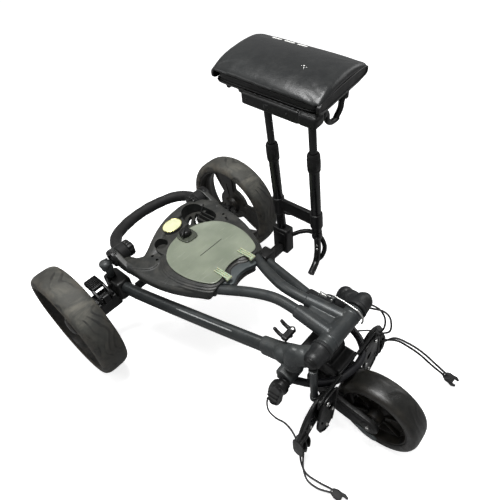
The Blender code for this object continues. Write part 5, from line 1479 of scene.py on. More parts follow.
piece(console(), "console_tray", "console", CONSOLE, angle=42)
for i, (x, y) in enumerate(TEE_HOLES):
    extra(torus((x, y, 0.2705 if x < 0 else 0.2725), 0.0042, 0.0009, 'Z', 28, 8),
          "tee_hole_rim_%d" % (i + 1), "handle", CONSOLE)
extra(prism(spline_loop(LIP_OUTLINE, 4), 0.2600, 0.2706, 'XY', 0.0015), "console_front_lip",
      "handle", PALE_LIP_AND_PAINTED_LIGHT)
extra(join([tube(BIN_CORD, 0.0009, 10, 8), ball((0.0470, -0.1020, 0.2755), 0.0022),
            ball((0.1085, -0.0655, 0.2765), 0.0022)]),
      "bin_retaining_cord", "handle", BLACK)
for side_name, side in SIDES:
    socket_front, socket_rear = (Vector(p) for p in across(side, [SOCKET_FRONT, SOCKET_REAR]))
    forward = (socket_front - socket_rear).normalized()
    extra(lathe(SOCKET_SEAM, socket_front + forward * 0.0004, 48, turn=aim(forward)),
          "tube_socket_seam_" + side_name, "handle", BLACK)
add_badge()
piece(lid(), "scorecard_lid_plate", "scorecard_lid", LID, angle=50)
extra(box((-0.0270, -0.1998, 0.28262), (0.0400, -0.1988, 0.28285)), "lid_plain_line", "lid",
      BLACK)
for side_name, side in SIDES:
    piece(hinge_tab(side), "hinge_tab_" + side_name, "lid_tab_" + side_name, TAB)
latch_plate = soft_prism(LATCH_PLATE, 2, 0.2827, 0.2856, 'XY', 0.0008)
piece(lid_knob(), "lid_knob_body_form", "lid_knob", BLACK)
extra(latch_plate, "lid_latch_plate", "lid", LENS)

# --------------------------------------------------------------------------- grip and clamps
GRIP_HALF = [(-0.1200, -0.0240, 0.2700), (-0.1190, -0.0080, 0.2700), (-0.1125, 0.0120, 0.2690),
             (-0.0930, 0.0350, 0.2670), (-0.0650, 0.0490, 0.2650), (-0.0330, 0.0575, 0.2640),
             (0, 0.0600, 0.2640)]


def grip():
    """Foam loop, slightly uneven in thickness, with an eye at each end."""
    path = spline(GRIP_HALF + across(-1, reversed(GRIP_HALF[:-1])), 8)
    scales = [1.0 + 0.035 * math.sin(i * 0.55) * math.sin(i * 0.21) for i in range(len(path))]
    eyes = [rod_x(way * 0.1112, way * 0.1338, CLAMP_Y, CLAMP_Z, 0.0205, 44, bevel=0.0020)
            for way in WAYS]
    return fuse([sweep(path, circle(0.0138, 36), (0, 0, 1), scales)] + eyes, 0.0012, 6)


def clamp_knob(side):
    """Toothed knob inboard of the grip's eye, with its spindle."""
    radii = [0.0205 if (k // 2) % 2 else 0.0192 for k in range(48)]
    teeth = [(r * math.cos(a) + CLAMP_Y, r * math.sin(a) + CLAMP_Z)
             for r, a in zip(radii, angles(48))]
    return join([
        soft_prism(teeth, 1, *span(side, 0.1108, 0.0975), 'YZ', 0.002),
        rod_x(side * 0.1440, side * 0.0985, CLAMP_Y, CLAMP_Z, 0.0041, 20),
        rod_x(side * 0.0930, side * 0.0980, CLAMP_Y, CLAMP_Z, 0.0100, bevel=0.001)])


def clamp_eye(side):
    """Rounded outer face with a round recess, a slot and ribs on part of its edge."""
    disc = rod_x(side * 0.1395, side * 0.1530, CLAMP_Y, CLAMP_Z, 0.0212, 48, bevel=0.0022)
    to_axis = Matrix.Translation(Vector((0, CLAMP_Y, CLAMP_Z)))
    from_axis = Matrix.Translation(Vector((0, -CLAMP_Y, -CLAMP_Z)))
    turn = to_axis @ Matrix.Rotation(math.radians(-40), 4, 'X') @ from_axis
    x0, x1 = span(side, 0.1495, 0.1560)
    slot = box((x0, CLAMP_Y - 0.0150, CLAMP_Z - 0.0035),
               (x1, CLAMP_Y + 0.0150, CLAMP_Z + 0.0035), 0.0010, 2, turn)
    cut(disc, [rod_x(side * 0.1480, side * 0.1560, CLAMP_Y, CLAMP_Z, 0.0115, 40), slot])
    ribs = [rod_x(side * 0.1385, side * 0.1485, CLAMP_Y + 0.0208 * math.cos(a),
                  CLAMP_Z + 0.0208 * math.sin(a), 0.0012, 8)
            for a in [math.radians(20 + 10 * k) for k in range(16)]]
    return join([disc] + ribs)


piece(grip(), "grip_loop_foam", "grip_loop", FOAM, angle=70)
for side_name, side in SIDES:
    piece(clamp_knob(side), "clamp_knob_form_" + side_name, "clamp_knob_" + side_name, BLACK)
    extra(clamp_eye(side), "clamp_eye_ring_" + side_name, "handle", BLACK)
    extra(rod_x(side * 0.1476, side * 0.1510, CLAMP_Y, CLAMP_Z, 0.0066, 6, bevel=0.0006),
          "clamp_eye_bolt_" + side_name, "handle", CASTING)

# --------------------------------------------------------------------------------- wire latch
LATCH_Z = 0.2985
LATCH_WIRE = [(0.0412, -0.5008, LATCH_Z), (0.0412, -0.5160, 0.2988), (0.0400, -0.5400, 0.2978),
              (0.0386, -0.5540, 0.2960), (0.0376, -0.5640, 0.2880), (0.0374, -0.5660, 0.2780),
              (0.0374, -0.5640, 0.2700)]
COIL_TAIL = [(0.0352, -0.4900, LATCH_Z), (0.0352, -0.4960, 0.2990), (0.0340, -0.5010, 0.2990)]


def wire_latch():
    return join([
        tube(LATCH_WIRE, 0.00175, 14, 8, (1, 0, 0), round_end=0.001),
        rod_x(0.0295, 0.0418, -0.5020, LATCH_Z, 0.00135, 14),
        rod_x(0.0286, 0.0312, -0.5020, LATCH_Z, 0.0026, 20, bevel=0.0004),
        torus((0.0400, -0.5020, LATCH_Z), 0.0022, 0.0008, 'X', 20, 8)])


def latch_coil():
    parts = [torus((0.0318, -0.4790 - 0.0017 * k, LATCH_Z), 0.0034, 0.0008, 'Y', 24, 8)
             for k in range(7)]
    parts += [tube(COIL_TAIL, 0.0011, 12, 6),
              rod((0.0318, -0.4765, LATCH_Z), (0.0318, -0.4745, LATCH_Z), 0.0042, 20,
                  bevel=0.0006)]
    return join(parts)


piece(wire_latch(), "wire_latch_spring", "wire_latch", STEEL, angle=60)
extra(latch_coil(), "wire_latch_coil", "handle", STEEL, angle=60)


# ---------------------------------------------------------------------------------- seat legs
def leg_point(y, z):
    """Point at height z on the leaning axis of the leg that stands at y."""
    rise = z - LEG_Z
    return Vector((LEG_X + LEG_LEAN_X * rise, y + LEG_LEAN_Y * rise, z))


LEG_TURN = aim(Vector((LEG_LEAN_X, LEG_LEAN_Y, 1.0)).normalized())
# name, y, bottom of the outer tube, bottom of the collar, top of the inner tube
LEGS = [("rear", LEG_REAR_Y, 0.2200, 0.4360, 0.5755),
        ("front", LEG_FRONT_Y, 0.2850, 0.4460, 0.5660)]
BORE_R = LEG_INNER_R + 0.0004
# radius, height above the collar's bottom
COLLAR_PROFILE = [(LEG_OUTER_R + 0.0004, 0), (0.0120, 0), (0.0129, 0.0012), (0.0134, 0.0030),
                  (0.0134, 0.0050), (0.0129, 0.0056), (0.0129, 0.0066), (0.0134, 0.0072),
                  (0.0134, 0.030), (0.0129, 0.0306), (0.0129, 0.0316), (0.0134, 0.0322),
                  (0.0133, 0.0350), (0.0122, 0.0395), (0.0112, 0.0410), (BORE_R, 0.0410),
                  (BORE_R, 0.0256), (LEG_OUTER_R + 0.0004, 0.0256)]


def leg_outer(y, bottom, collar_z):
    length = (leg_point(y, collar_z + 0.0250) - leg_point(y, bottom)).length
    profile = [(LEG_OUTER_R - 0.0006, 0), (LEG_OUTER_R, 0.0006), (LEG_OUTER_R, length),
               (BORE_R, length), (BORE_R, 0)]
    return lathe(profile, leg_point(y, bottom), 40, turn=LEG_TURN)


def leg_collar(y, collar_z):
    base = leg_point(y, collar_z)
    parts = [lathe(COLLAR_PROFILE, base, 48, turn=LEG_TURN)]
    for u, v in circle(0.0133, 12):
        parts.append(rod(base + LEG_TURN @ Vector((u, v, 0.0095)),
                         base + LEG_TURN @ Vector((u, v, 0.0275)), 0.0007, 8))
    return join(parts)


def cross_plate():
    """Upright plate between the legs, with a sleeve round each and flanged edges."""
    outline = [(LEG_REAR_Y, 0.334), (LEG_REAR_Y, 0.292), (-0.2800, 0.292), (-0.3080, 0.3040),
               (-0.3400, 0.299), (LEG_FRONT_Y, 0.2990), (LEG_FRONT_Y, 0.332)]
    on_axis = [leg_point(y, z) for y, z in outline]
    faces = [[Vector((p.x + d, p.y, p.z)) for p in on_axis] for d in (-0.0030, 0.0030)]
    parts = [slab(*faces)]
    for y, bottom in ((LEG_REAR_Y, 0.292), (LEG_FRONT_Y, 0.298)):
        parts.append(rod(leg_point(y, bottom), leg_point(y, 0.336), 0.0142, 40, bevel=0.0012))
    for z in (0.3325, 0.3005):
        rear = leg_point(LEG_REAR_Y - 0.008, z)
        front = leg_point(LEG_FRONT_Y + 0.008, z - 0.001)
        parts.append(sweep([rear, (rear + front) / 2, front],
                           soft_rectangle(0.0048, 0.0013, 1)))
    return fuse(parts, 0.0009, 3)


def clamp_block():
    return join([
        box((0.1755, -0.2800, 0.1700), (0.2035, -0.2360, 0.2440), 0.004),
        box((0.1740, -0.2740, 0.1800), (0.1760, -0.2460, 0.2340), 0.0008),
        rod_x(0.1742, 0.2050, -0.258, 0.2250, 0.0048, 20, bevel=0.0008),
        rod_x(0.1742, 0.2050, -0.262, 0.1860, 0.0040, 20, bevel=0.0008)])


def link_bar():
    return join([
        box((0.0960, -0.2780, 0.1690), (0.1330, -0.2460, 0.2180), 0.005),
        box((0.1280, -0.2710, 0.1780), (0.1751, -0.2510, 0.1980), 0.003),
        box((0.1330, -0.2690, 0.1970), (0.1720, -0.2530, 0.2000), 0.001),
        rod((0.150, -0.261, 0.1995), (0.150, -0.261, 0.2012), 0.0045, 24, bevel=0.0005)])


def foot_frame():
    """Bent lower end of the front leg, with a curved bar and two sleeves."""
    foot = [leg_point(LEG_FRONT_Y, z) for z in (0.3060, 0.2650, 0.2300)]
    foot += [(0.1885, -0.3610, 0.2090), (0.1845, -0.3622, 0.1960), (0.1760, -0.3645, 0.1880),
             (0.1500, -0.3705, 0.1800)]
    bar = [(0.1910, -0.2868, 0.2310), (0.1985, -0.3050, 0.2440), (0.2045, -0.3280, 0.2530),
           (0.2060, -0.3560, 0.2500), (0.2050, -0.3700, 0.2260), (0.1990, -0.3680, 0.2000),
           (0.1850, -0.3630, 0.1920)]
    parts = [tube(foot, 0.0078, 32, 6, (0, 1, 0)), tube(bar, 0.0054, 24, 8, (1, 0.2, 0))]
    for low, high, radius, bevel in ((0.2650, 0.2846, 0.0118, 0.0010),
                                     (0.2680, 0.2720, 0.0122, 0.0006)):
        parts.append(rod(leg_point(LEG_FRONT_Y, low), leg_point(LEG_FRONT_Y, high), radius,
                         40, bevel=bevel))
    return join(parts)


for leg_name, y, bottom, collar_z, inner_top in LEGS:
    piece(leg_outer(y, bottom, collar_z), "leg_outer_" + leg_name,
          "seat_outer_tube_" + leg_name, LEG_PAINT)
    piece(leg_collar(y, collar_z), "leg_collar_" + leg_name, "twist_collar_" + leg_name, BLACK)
    piece(rod(leg_point(y, 0.3700), leg_point(y, inner_top), LEG_INNER_R, bevel=0.0006),
          "leg_inner_" + leg_name, "seat_inner_tube_" + leg_name, LEG_PAINT)
piece(cross_plate(), "leg_cross_plate", "seat_cross_plate", BLACK)
piece(clamp_block(), "leg_clamp_block", "seat_clamp_block", BLACK)
piece(link_bar(), "leg_link_bar", "seat_link_bar", BLACK)
piece(foot_frame(), "leg_foot_frame", "seat_foot_frame", LEG_PAINT)
for i, z in enumerate((0.2440, 0.2320)):
    pin_base = leg_point(LEG_FRONT_Y, z) + Vector((-0.0068, -0.0030, 0))
    extra(rivet_head(pin_base, (-0.85, -0.5, 0), 0.0026, 0.0022), "leg_spring_pin_%d" % (i + 1),
          "chassis", STEEL)

# --------------------------------------------------------------------------------------- seat
# Everything on the seat is laid out in its own frame: x across, y along, z up from the cover.
SEAT = (Matrix.Translation(Vector((0.2449, -0.2439, 0.6181)))
        @ Matrix.Rotation(math.radians(2.0), 4, 'Z')
        @ Matrix.Rotation(math.radians(5.0), 4, 'X')
        @ Matrix.Rotation(math.radians(-5.0), 4, 'Y'))
SEAT_W, SEAT_L = 0.168, 0.255
CORE_HALF_W, CORE_HALF_L = SEAT_W / 2 - 0.0038, SEAT_L / 2 - 0.0075


def seat_direction(x, y, z):
    return SEAT.to_3x3() @ Vector((x, y, z))


def seat_ring(outline, z):
    return [SEAT @ Vector((x, y, z)) for x, y in outline]


def squircle(half_x, half_y, power_x, power_y, step):
    """Rounded rectangle, one point every step degrees."""
    points = []
    for degrees in range(0, 360, step):
        c, s = math.cos(math.radians(degrees)), math.sin(math.radians(degrees))
        points.append((half_x * math.copysign(abs(c) ** power_x, c),
                       half_y * math.copysign(abs(s) ** power_y, s)))
    return points


# Right half of the cover's section: share of the half width, height.
COVER_SECTION = [(0.0, 0.0106), (0.16, 0.0103), (0.34, 0.0094), (0.52, 0.0074),
                 (0.68, 0.0042), (0.82, -0.0004), (0.93, -0.0050), (0.985, -0.0080),
                 (1.0, -0.0108), (0.992, -0.0134), (0.965, -0.0148), (0.90, -0.0150),
                 (0.60, -0.0120), (0.30, -0.0100), (0.0, -0.0095)]


def seat_cover():
    """Crowned cushion slab with tight rolled edges all round."""
    half_w, half_l = SEAT_W / 2, SEAT_L / 2
    section = mirror_outline(soften_profile([(x * half_w, z) for x, z in COVER_SECTION], 2))
    stations = [-1 + 2 * i / 110 for i in range(111)][3:-3]
    ends = [0.9995, 0.997, 0.992, 0.984, 0.974]
    edge = 0.0095
    rings = []
    for station in sorted(set(stations + ends + [-e for e in ends])):
        y = station * half_l
        inside = half_l - abs(y)
        fullness = 1.0
        if inside < edge:
            fullness = math.sqrt(max(0.0, 1 - ((edge - inside) / edge) ** 2))
        ring = []
        for x, z in section:
            middle = -0.0010 - 0.0125 * (abs(x) / half_w) ** 2.6
            height = middle + (z - middle) * (0.12 + 0.88 * fullness)
            if z > middle:      # the top sags towards the ends and is slightly uneven
                height += (-0.0016 * (y / half_l) ** 2
                           + 0.0005 * math.sin(y * 37 + 1.0) * math.cos(x * 33))
            ring.append(SEAT @ Vector((x * (1 - (1 - fullness) * 0.030), y, height)))
        rings.append(ring)
    return loft(rings)


def inflate(cover):
    """Press the cover outwards as cloth, limited so that it stays in its space."""
    add_modifier(cover, 'REMESH', mode='VOXEL', voxel_size=0.0034)
    bake(cover)
    rest = [v.co.copy() for v in cover.data.vertices]
    to_seat = SEAT.inverted()
    local = [to_seat @ point for point in rest]
    pinned = [i for i, p in enumerate(local)
              if p.z < -0.0080 - 0.010 * (abs(p.x) / (SEAT_W / 2)) ** 2.6 + 0.0022
              and abs(p.x) < SEAT_W / 2 - 0.004]
    pinned_set = set(pinned)
    ends = [i for i, p in enumerate(local)
            if i not in pinned_set and abs(p.y) > SEAT_L / 2 - 0.006]
    group = cover.vertex_groups.new(name="pin")
    group.add(pinned, 1.0, 'REPLACE')
    group.add(ends, 0.7, 'REPLACE')
    last_frame = 20
    cloth = add_modifier(cover, 'CLOTH')
    settings = cloth.settings
    settings.quality = 6
    settings.mass = 0.25
    settings.tension_stiffness = 30
    settings.compression_stiffness = 30
    settings.shear_stiffness = 12
    settings.bending_stiffness = 2.0
    settings.use_pressure = True
    settings.uniform_pressure_force = 4.0
    settings.effector_weights.gravity = 0.0
    settings.vertex_group_mass = "pin"
    cloth.point_cache.frame_start = 1
    cloth.point_cache.frame_end = last_frame
    for frame_number in range(1, last_frame + 1):
        bpy.context.scene.frame_set(frame_number)
    bake(cover)
    farthest = 0.0016
    for v, start in zip(cover.data.vertices, rest):
        move = v.co - start
        if move.length > farthest:
            v.co = start + move.normalized() * farthest
    bpy.context.scene.frame_set(1)
    add_modifier(cover, 'SMOOTH', iterations=3, factor=0.5)
    add_modifier(cover, 'SUBSURF', levels=1, render_levels=1)
    bake(cover)


def hem(height, radius, grow):
    """Piping round the side walls."""
    points = seat_ring(squircle(CORE_HALF_W * grow, CORE_HALF_L * grow, 0.22, 0.16, 2), height)
    normal = seat_direction(0, 0, 1)
    rings = []
    for i, p in enumerate(points):
        along = (points[(i + 1) % len(points)] - points[i - 1]).normalized()
        sideways = along.cross(normal)
        sideways.normalize()
        upward = sideways.cross(along)
        rings.append([p + sideways * u + upward * v for u, v in circle(radius, 10)])
    return loft(rings, loop=True)


def seat_walls():
    """Dark side walls under the cover, set back from its edge."""
    # share of the half size, height
    rows = [(0.965, -0.0312), (0.985, -0.0304), (1.0, -0.0270), (1.002, -0.0200),
            (0.998, -0.0140), (0.985, -0.0110), (0.90, -0.0100)]
    core = loft([seat_ring(squircle(CORE_HALF_W * k, CORE_HALF_L * (1 - (1 - k) * 0.6),
                                    0.22, 0.16, 3), z) for k, z in rows])
    return join([core, hem(-0.0286, 0.0013, 1.003), hem(-0.0168, 0.0010, 1.002)])


def end_panel(way):
    """Moulded end plate just proud of the cushion, with a rounded rim."""
    bottom, middle = -0.0312, -0.0190
    outline = []
    for x, rise in squircle(SEAT_W / 2 + 0.0008, 1.0, 0.34, 0.5, 4):
        top = -0.0060 - 0.0035 * (abs(x) / (SEAT_W / 2)) ** 3
        outline.append((x, (top + bottom) / 2 + (top - bottom) / 2 * rise))
    # share of the outline, distance outwards
    rows = [(0.93, -0.0060), (1.0, -0.0055), (1.0, -0.0010), (0.992, 0.0006),
            (0.975, 0.0010), (0.955, 0.0004), (0.945, -0.0012)]
    y = way * (SEAT_L / 2 - 0.0005)
    return loft([[SEAT @ Vector((x * k, y + way * out,
                                 middle + (z - middle) * (1.0 - (1 - k) * 3.0)))
                  for x, z in outline] for k, out in rows])


cover = seat_cover()
inflate(cover)
piece(cover, "seat_cushion_cover", "seat_pad", VINYL, angle=80)
extra(seat_walls(), "seat_cushion_walls", "seat", BLACK, angle=50)
for end_name, way in (("front", -1), ("rear", 1)):
    extra(end_panel(way), "seat_end_panel_" + end_name, "seat", BLACK, angle=50)

COVER_TREE = BVHTree.FromPolygons([v.co.copy() for v in cover.data.vertices],
                                  [tuple(p.vertices) for p in cover.data.polygons])


def on_cover(x, y, lift):
    """The point of the finished cover at x, y, raised by lift."""
    down = seat_direction(0, 0, -1)
    return COVER_TREE.ray_cast(SEAT @ Vector((x, y, 0.05)), down)[0] - down * lift


def dashes():
    """Three plain pale dashes on the cover."""
    middle, sunk, raised, steps = 0.0575, -0.0006, 0.0004, 10
    parts = []
    for start, end in ((0.080, 0.056), (0.049, 0.024), (0.017, -0.006)):
        rings = []
        for k in range(steps + 1):
            y = start + (end - start) * k / steps
            width = 0.0030 if 0 < k < steps else 0.0018
            rings.append([on_cover(x, y, lift) for x, lift in (
                (middle - width, sunk), (middle - width * 0.8, raised),
                (middle + width * 0.8, raised), (middle + width, sunk))])
        parts.append(loft(rings))
    return join(parts)


LOOP_X0, LOOP_X1, LOOP_Y, LOOP_Z = -0.0450, 0.0300, -0.1130, -0.0500    # carry loop's ends


def rounded_rectangle(width, length, radius):
    points = []
    x, y = width / 2 - radius, length / 2 - radius
    for cx, cy, start in ((x, y, 0), (-x, y, 90), (-x, -y, 180), (x, -y, 270)):
        for k in range(7):
            a = math.radians(start + 90 * k / 6)
            points.append((cx + radius * math.cos(a), cy + radius * math.sin(a)))
    return points


def seat_tray():
    """Base under the cushion, with the raised housings below it."""
    # cut from the seat's width and length, corner radius, height
    rows = [(0.026, 0.022, 0.012, -0.0418), (0.018, 0.014, 0.012, -0.0412),
            (0.010, 0.008, 0.013, -0.0370), (0.007, 0.005, 0.014, -0.0322)]
    # low corner, high corner, bevel
    boxes = [((-0.0885, -0.0860, -0.0600), (-0.0400, 0.0500, -0.0340), 0.004),
             ((-0.0890, -0.1250, -0.0610), (-0.0560, -0.0820, -0.0345), 0.008),
             ((-0.0770, 0.0480, -0.0480), (-0.0480, 0.0680, -0.0350), 0.005),
             ((-0.0760, 0.0900, -0.0470), (-0.0660, 0.0990, -0.0380), 0.0025),
             ((-0.0900, -0.0200, -0.0500), (-0.0870, -0.0080, -0.0420), 0.001)]
    boxes += [((x - 0.0050, LOOP_Y - 0.0070, -0.0575), (x + 0.0050, LOOP_Y + 0.0070, -0.0380),
               0.003) for x in (LOOP_X0, LOOP_X1)]
    parts = [loft([seat_ring(rounded_rectangle(SEAT_W - dw, SEAT_L - dl, radius), z)
                   for dw, dl, radius, z in rows])]
    parts += [box(low, high, bevel, frame=SEAT) for low, high, bevel in boxes]
    return fuse(parts, 0.0011, 4)


def carry_loop():
    # x, depth below the ends
    path = [(LOOP_X0, 0), (LOOP_X0 + 0.0060, 0), (LOOP_X0 + 0.0115, 0.0080),
            (LOOP_X0 + 0.0150, 0.0230), (LOOP_X0 + 0.0290, 0.0355), (LOOP_X0 + 0.0500, 0.0385),
            (LOOP_X1 - 0.0270, 0.0355), (LOOP_X1 - 0.0135, 0.0230), (LOOP_X1 - 0.0110, 0.0080),
            (LOOP_X1 - 0.0060, 0), (LOOP_X1, 0)]
    points = spline([(x, LOOP_Y, LOOP_Z - depth) for x, depth in path], 7)
    return sweep([SEAT @ p for p in points], circle(0.0056, 20, 0.0062),
                 seat_direction(0, 1, 0))


def worn_flecks():
    """Pale ragged flecks on the vinyl."""
    rng = random.Random(7)
    sides = 11
    parts = []
    for x, y, radius in ((-0.0170, -0.0440, 0.0011), (-0.0150, -0.0480, 0.0018),
                         (-0.0205, -0.0510, 0.0012), (-0.0175, -0.0550, 0.0009),
                         (-0.0235, -0.0530, 0.0008)):
        points = [on_cover(x, y, 0.0003)]
        for a in angles(sides):
            r = radius * rng.uniform(0.5, 1.3)
            points.append(on_cover(x + r * math.cos(a), y + r * math.sin(a), 0.0001))
        points.append(on_cover(x, y, -0.0020))
        pairs = [(1 + k, 1 + (k + 1) % sides) for k in range(sides)]
        parts.append(shell(points, [(0, a, b) for a, b in pairs]
                           + [(sides + 1, b, a) for a, b in pairs]))
    return join(parts)


extra(dashes(), "seat_plain_dashes", "seat", FLECK)
piece(seat_tray(), "seat_tray_body", "seat_tray", BLACK, angle=50)
for i, (y, z) in enumerate(((-0.060, -0.047), (-0.010, -0.050), (0.036, -0.047))):
    extra(rivet_head(SEAT @ Vector((-0.0884, y, z)), seat_direction(-1, 0, 0), 0.0030, 0.0014),
          "seat_housing_screw_%d" % (i + 1), "seat", BLACK)
piece(carry_loop(), "seat_carry_loop", "seat_handle", BLACK, angle=60)
extra(worn_flecks(), "seat_worn_flecks", "seat", FLECK)


# -------------------------------------------------------------------------------------- cords
def cord(points, radius=0.0020):
    return tube(points, radius, 12, 10, (0.31, 0.22, 0.92))


def hook(base, direction, up, size):
    """Parts of a two-pronged hook on the end of a cord pair."""
    base = Vector(base)
    forward = Vector(direction).normalized()
    sideways = forward.cross(Vector(up)).normalized()
    upward = sideways.cross(forward)
    palm = soft_rectangle(0.0062 * size, 0.0030 * size, 2)
    prong = soft_rectangle(0.0026 * size, 0.0022 * size, 2)
    parts = [sweep([base] + [base + forward * d * size for d in (0.0040, 0.0090, 0.0120)],
                   palm, upward, [0.72, 1.0, 0.95, 0.8], 0.001)]
    for way in WAYS:
        root = base + forward * (0.0100 * size) + sideways * (way * 0.0038 * size)
        parts.append(sweep(
            [root, root + forward * (0.0045 * size) + sideways * (way * 0.0010 * size),
             root + forward * (0.0085 * size) + sideways * (way * 0.0002)],
            prong, upward, [0.95, 0.85, 0.6], 0.0015))
    for k in range(3):
        parts.append(torus(base + forward * ((0.0015 + 0.003 * k) * size), 0.0042 * size,
                           0.0009 * size, 'Z', 24, 8))
    return parts


LEFT_CORDS = [
    [(-0.1525, -0.5640, 0.0780), (-0.1520, -0.5655, 0.0450), (-0.1450, -0.5560, 0.0150),
     (-0.1400, -0.5500, 0.0080), (-0.1450, -0.5560, 0.0062), (-0.1590, -0.5700, 0.0060),
     (-0.1680, -0.5900, 0.0056), (-0.1650, -0.6180, 0.0062), (-0.1600, -0.6400, 0.0070),
     (-0.1590, -0.6490, 0.0075)],
    [(-0.1385, -0.5640, 0.0780), (-0.1390, -0.5655, 0.0450), (-0.1390, -0.5610, 0.0150),
     (-0.1440, -0.5640, 0.0105), (-0.1520, -0.5690, 0.0105), (-0.1660, -0.5800, 0.0100),
     (-0.1770, -0.5980, 0.0080), (-0.1760, -0.6210, 0.0075), (-0.1680, -0.6400, 0.0075),
     (-0.1640, -0.6490, 0.0080)]]
RIGHT_CORDS = [
    [(0.1525, -0.5640, 0.0780), (0.1510, -0.5800, 0.0960), (0.1530, -0.6014, 0.1090),
     (0.1580, -0.6236, 0.1030), (0.1650, -0.6503, 0.0880), (0.1750, -0.6814, 0.0590),
     (0.1860, -0.7110, 0.0320)],
    [(0.1385, -0.5640, 0.0780), (0.1420, -0.5800, 0.1040), (0.1480, -0.5971, 0.1220),
     (0.1560, -0.6242, 0.1170), (0.1650, -0.6547, 0.1000), (0.1760, -0.6903, 0.0670),
     (0.1880, -0.7130, 0.0380)]]
# Loops that hang from the right knuckle to the cradle.
CRADLE_LOOPS = [
    [(0.0980, -0.5440, 0.2490), (0.1000, -0.5560, 0.2520), (0.1010, -0.5700, 0.2480),
     (0.1010, -0.5810, 0.2340), (0.1000, -0.5850, 0.2130), (0.0985, -0.5820, 0.1930),
     (0.0960, -0.5740, 0.1830)],
    [(0.0960, -0.5400, 0.2400), (0.0990, -0.5560, 0.2440), (0.1000, -0.5760, 0.2510),
     (0.1010, -0.5900, 0.2430), (0.1010, -0.5970, 0.2210), (0.1000, -0.5960, 0.2000),
     (0.0970, -0.5820, 0.1850)]]
# From the foot of a strap arm out to the bag arm.
STRAP_CORD = [(0.1280, -0.4858, 0.1276), (0.1300, -0.4689, 0.1219), (0.1320, -0.4627, 0.0907),
              (0.1340, -0.4676, 0.0637), (0.1370, -0.4892, 0.0659), (0.1400, -0.5150, 0.0860),
              (0.1480, -0.5400, 0.1000), (0.1560, -0.5600, 0.0940)]

piece(join([cord(points) for points in LEFT_CORDS]
           + hook((-0.1615, -0.6480, 0.0082), (0.05, -1.0, -0.02), (0, 0, 1), 1.5)),
      "bungee_cord_left", "cord_left", CORD)
piece(join([cord(points, 0.0024) for points in RIGHT_CORDS]
           + hook((0.1872, -0.7100, 0.0345), (0.28, -0.75, -0.60), (-0.49, -0.53, 0.69),
                  1.75)),
      "bungee_cord_right", "cord_right", CORD)
extra(join([cord(points) for points in CRADLE_LOOPS]
           + [ball((0.0965, -0.5760, 0.1830), 0.0050, (1, 1.4, 0.8))]),
      "cradle_elastic_loops", "chassis", CORD)
for side_name, side in SIDES:
    extra(cord(across(side, STRAP_CORD), 0.0019), "strap_arm_cord_" + side_name,
          side_name + "_strap_arm", CORD)

# CAD nodes that still show keep their shape and take a detailed material.
for node_name, ob in frame["nodes"].items():
    if not ob.hide_render:
        ob.data.materials.clear()
        ob.data.materials.append(STEEL if node_name == "pivot_shaft" else BLACK)


# ----------------------------------------------------------------------- floor, light, camera
def floor_material():
    """Reads pale to the camera, and throws less light up under the trolley."""
    sh = Shading("floor_white")
    sh.tree.nodes.remove(sh.principled)
    drift = sh.noise(sh.coordinates(), scale=3.0, detail=3.0)
    tone = sh.ramp(drift, [(0.3, (0.90, 0.90, 0.90)), (0.7, (0.93, 0.93, 0.93))])
    rays = sh.node("LightPath", {})
    glow = sh.node("Emission", {"Strength": 1.0, "Color": (0.74, 0.74, 0.74, 1)})
    pale = sh.node("BsdfDiffuse", {"Color": tone})
    dark = sh.node("BsdfDiffuse", {"Color": (0.34, 0.34, 0.34, 1)})
    seen = sh.node("AddShader", {0: pale.outputs[0], 1: glow.outputs[0]})
    final = sh.node("MixShader", {0: rays.outputs["Is Camera Ray"], 1: dark.outputs[0],
                                  2: seen.outputs[0]})
    sh.feed(sh.tree.nodes["Material Output"], {"Surface": final.outputs[0]})
    return sh.material


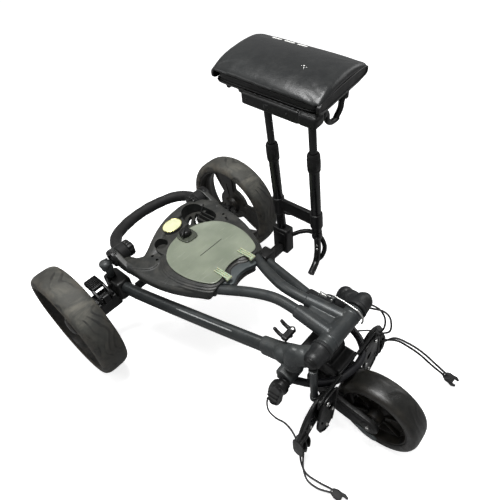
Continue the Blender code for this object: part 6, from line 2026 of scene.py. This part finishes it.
def add_floor():
    material = floor_material()
    mesh = bpy.data.meshes.new("floor")
    half = 12.0
    mesh.from_pydata([(-half, -half, 0), (half, -half, 0), (half, half, 0), (-half, half, 0)],
                     [], [(0, 1, 2, 3)])
    mesh.materials.append(material)
    link_object("floor", mesh)


def set_world():
    """White surroundings, brighter to the camera than to the trolley."""
    lighting_strength, camera_strength = 0.30, 1.05
    world = bpy.data.worlds.new("studio")
    bpy.context.scene.world = world
    world.use_nodes = True
    tree = world.node_tree
    background = tree.nodes["Background"]
    rays = tree.nodes.new("ShaderNodeLightPath")
    strength = tree.nodes.new("ShaderNodeMapRange")
    tree.links.new(rays.outputs["Is Camera Ray"], strength.inputs["Value"])
    strength.inputs["To Min"].default_value = lighting_strength
    strength.inputs["To Max"].default_value = camera_strength
    background.inputs["Color"].default_value = (1.0, 1.0, 1.0, 1)
    tree.links.new(strength.outputs["Result"], background.inputs["Strength"])


def add_area_light(name, place, target, size, power):
    light = bpy.data.lights.new(name, 'AREA')
    light.energy = power
    light.size = size
    ob = link_object(name, light)
    ob.location = Vector(place) + OFFSET
    ob.rotation_mode = 'QUATERNION'
    ob.rotation_quaternion = (Vector(target) - Vector(place)).to_track_quat('-Z', 'Y')


def add_camera():
    place = (-0.4067, -0.7622, 0.9287)
    forward = Vector((0.4869, 0.5296, -0.6946)).normalized()
    right = Vector((0.6645, -0.7407, -0.0989)).normalized()
    down = forward.cross(right).normalized()
    right = down.cross(forward).normalized()
    camera = bpy.data.cameras.new("camera")
    ob = link_object("camera", camera)
    view = Matrix((right, -down, -forward)).transposed().to_4x4()
    view.translation = [a + b for a, b in zip(place, OFFSET)]
    ob.matrix_world = view
    camera.sensor_fit = 'AUTO'
    camera.sensor_width = 36.0
    camera.lens = 30.33432
    camera.clip_start = 0.01
    camera.clip_end = 60
    bpy.context.scene.camera = ob


add_floor()
set_world()
add_area_light("key", place=(-0.1, -0.2, 2.3), target=(0, -0.3, 0.2), size=0.8, power=44)
add_area_light("fill", place=(1.9, -0.9, 1.5), target=(0, -0.3, 0.3), size=1.2, power=9)
add_area_light("rim", place=(-1.5, 1.3, 1.5), target=(0, -0.3, 0.3), size=1.0, power=8)
bpy.context.scene.view_settings.view_transform = 'Standard'
add_camera()
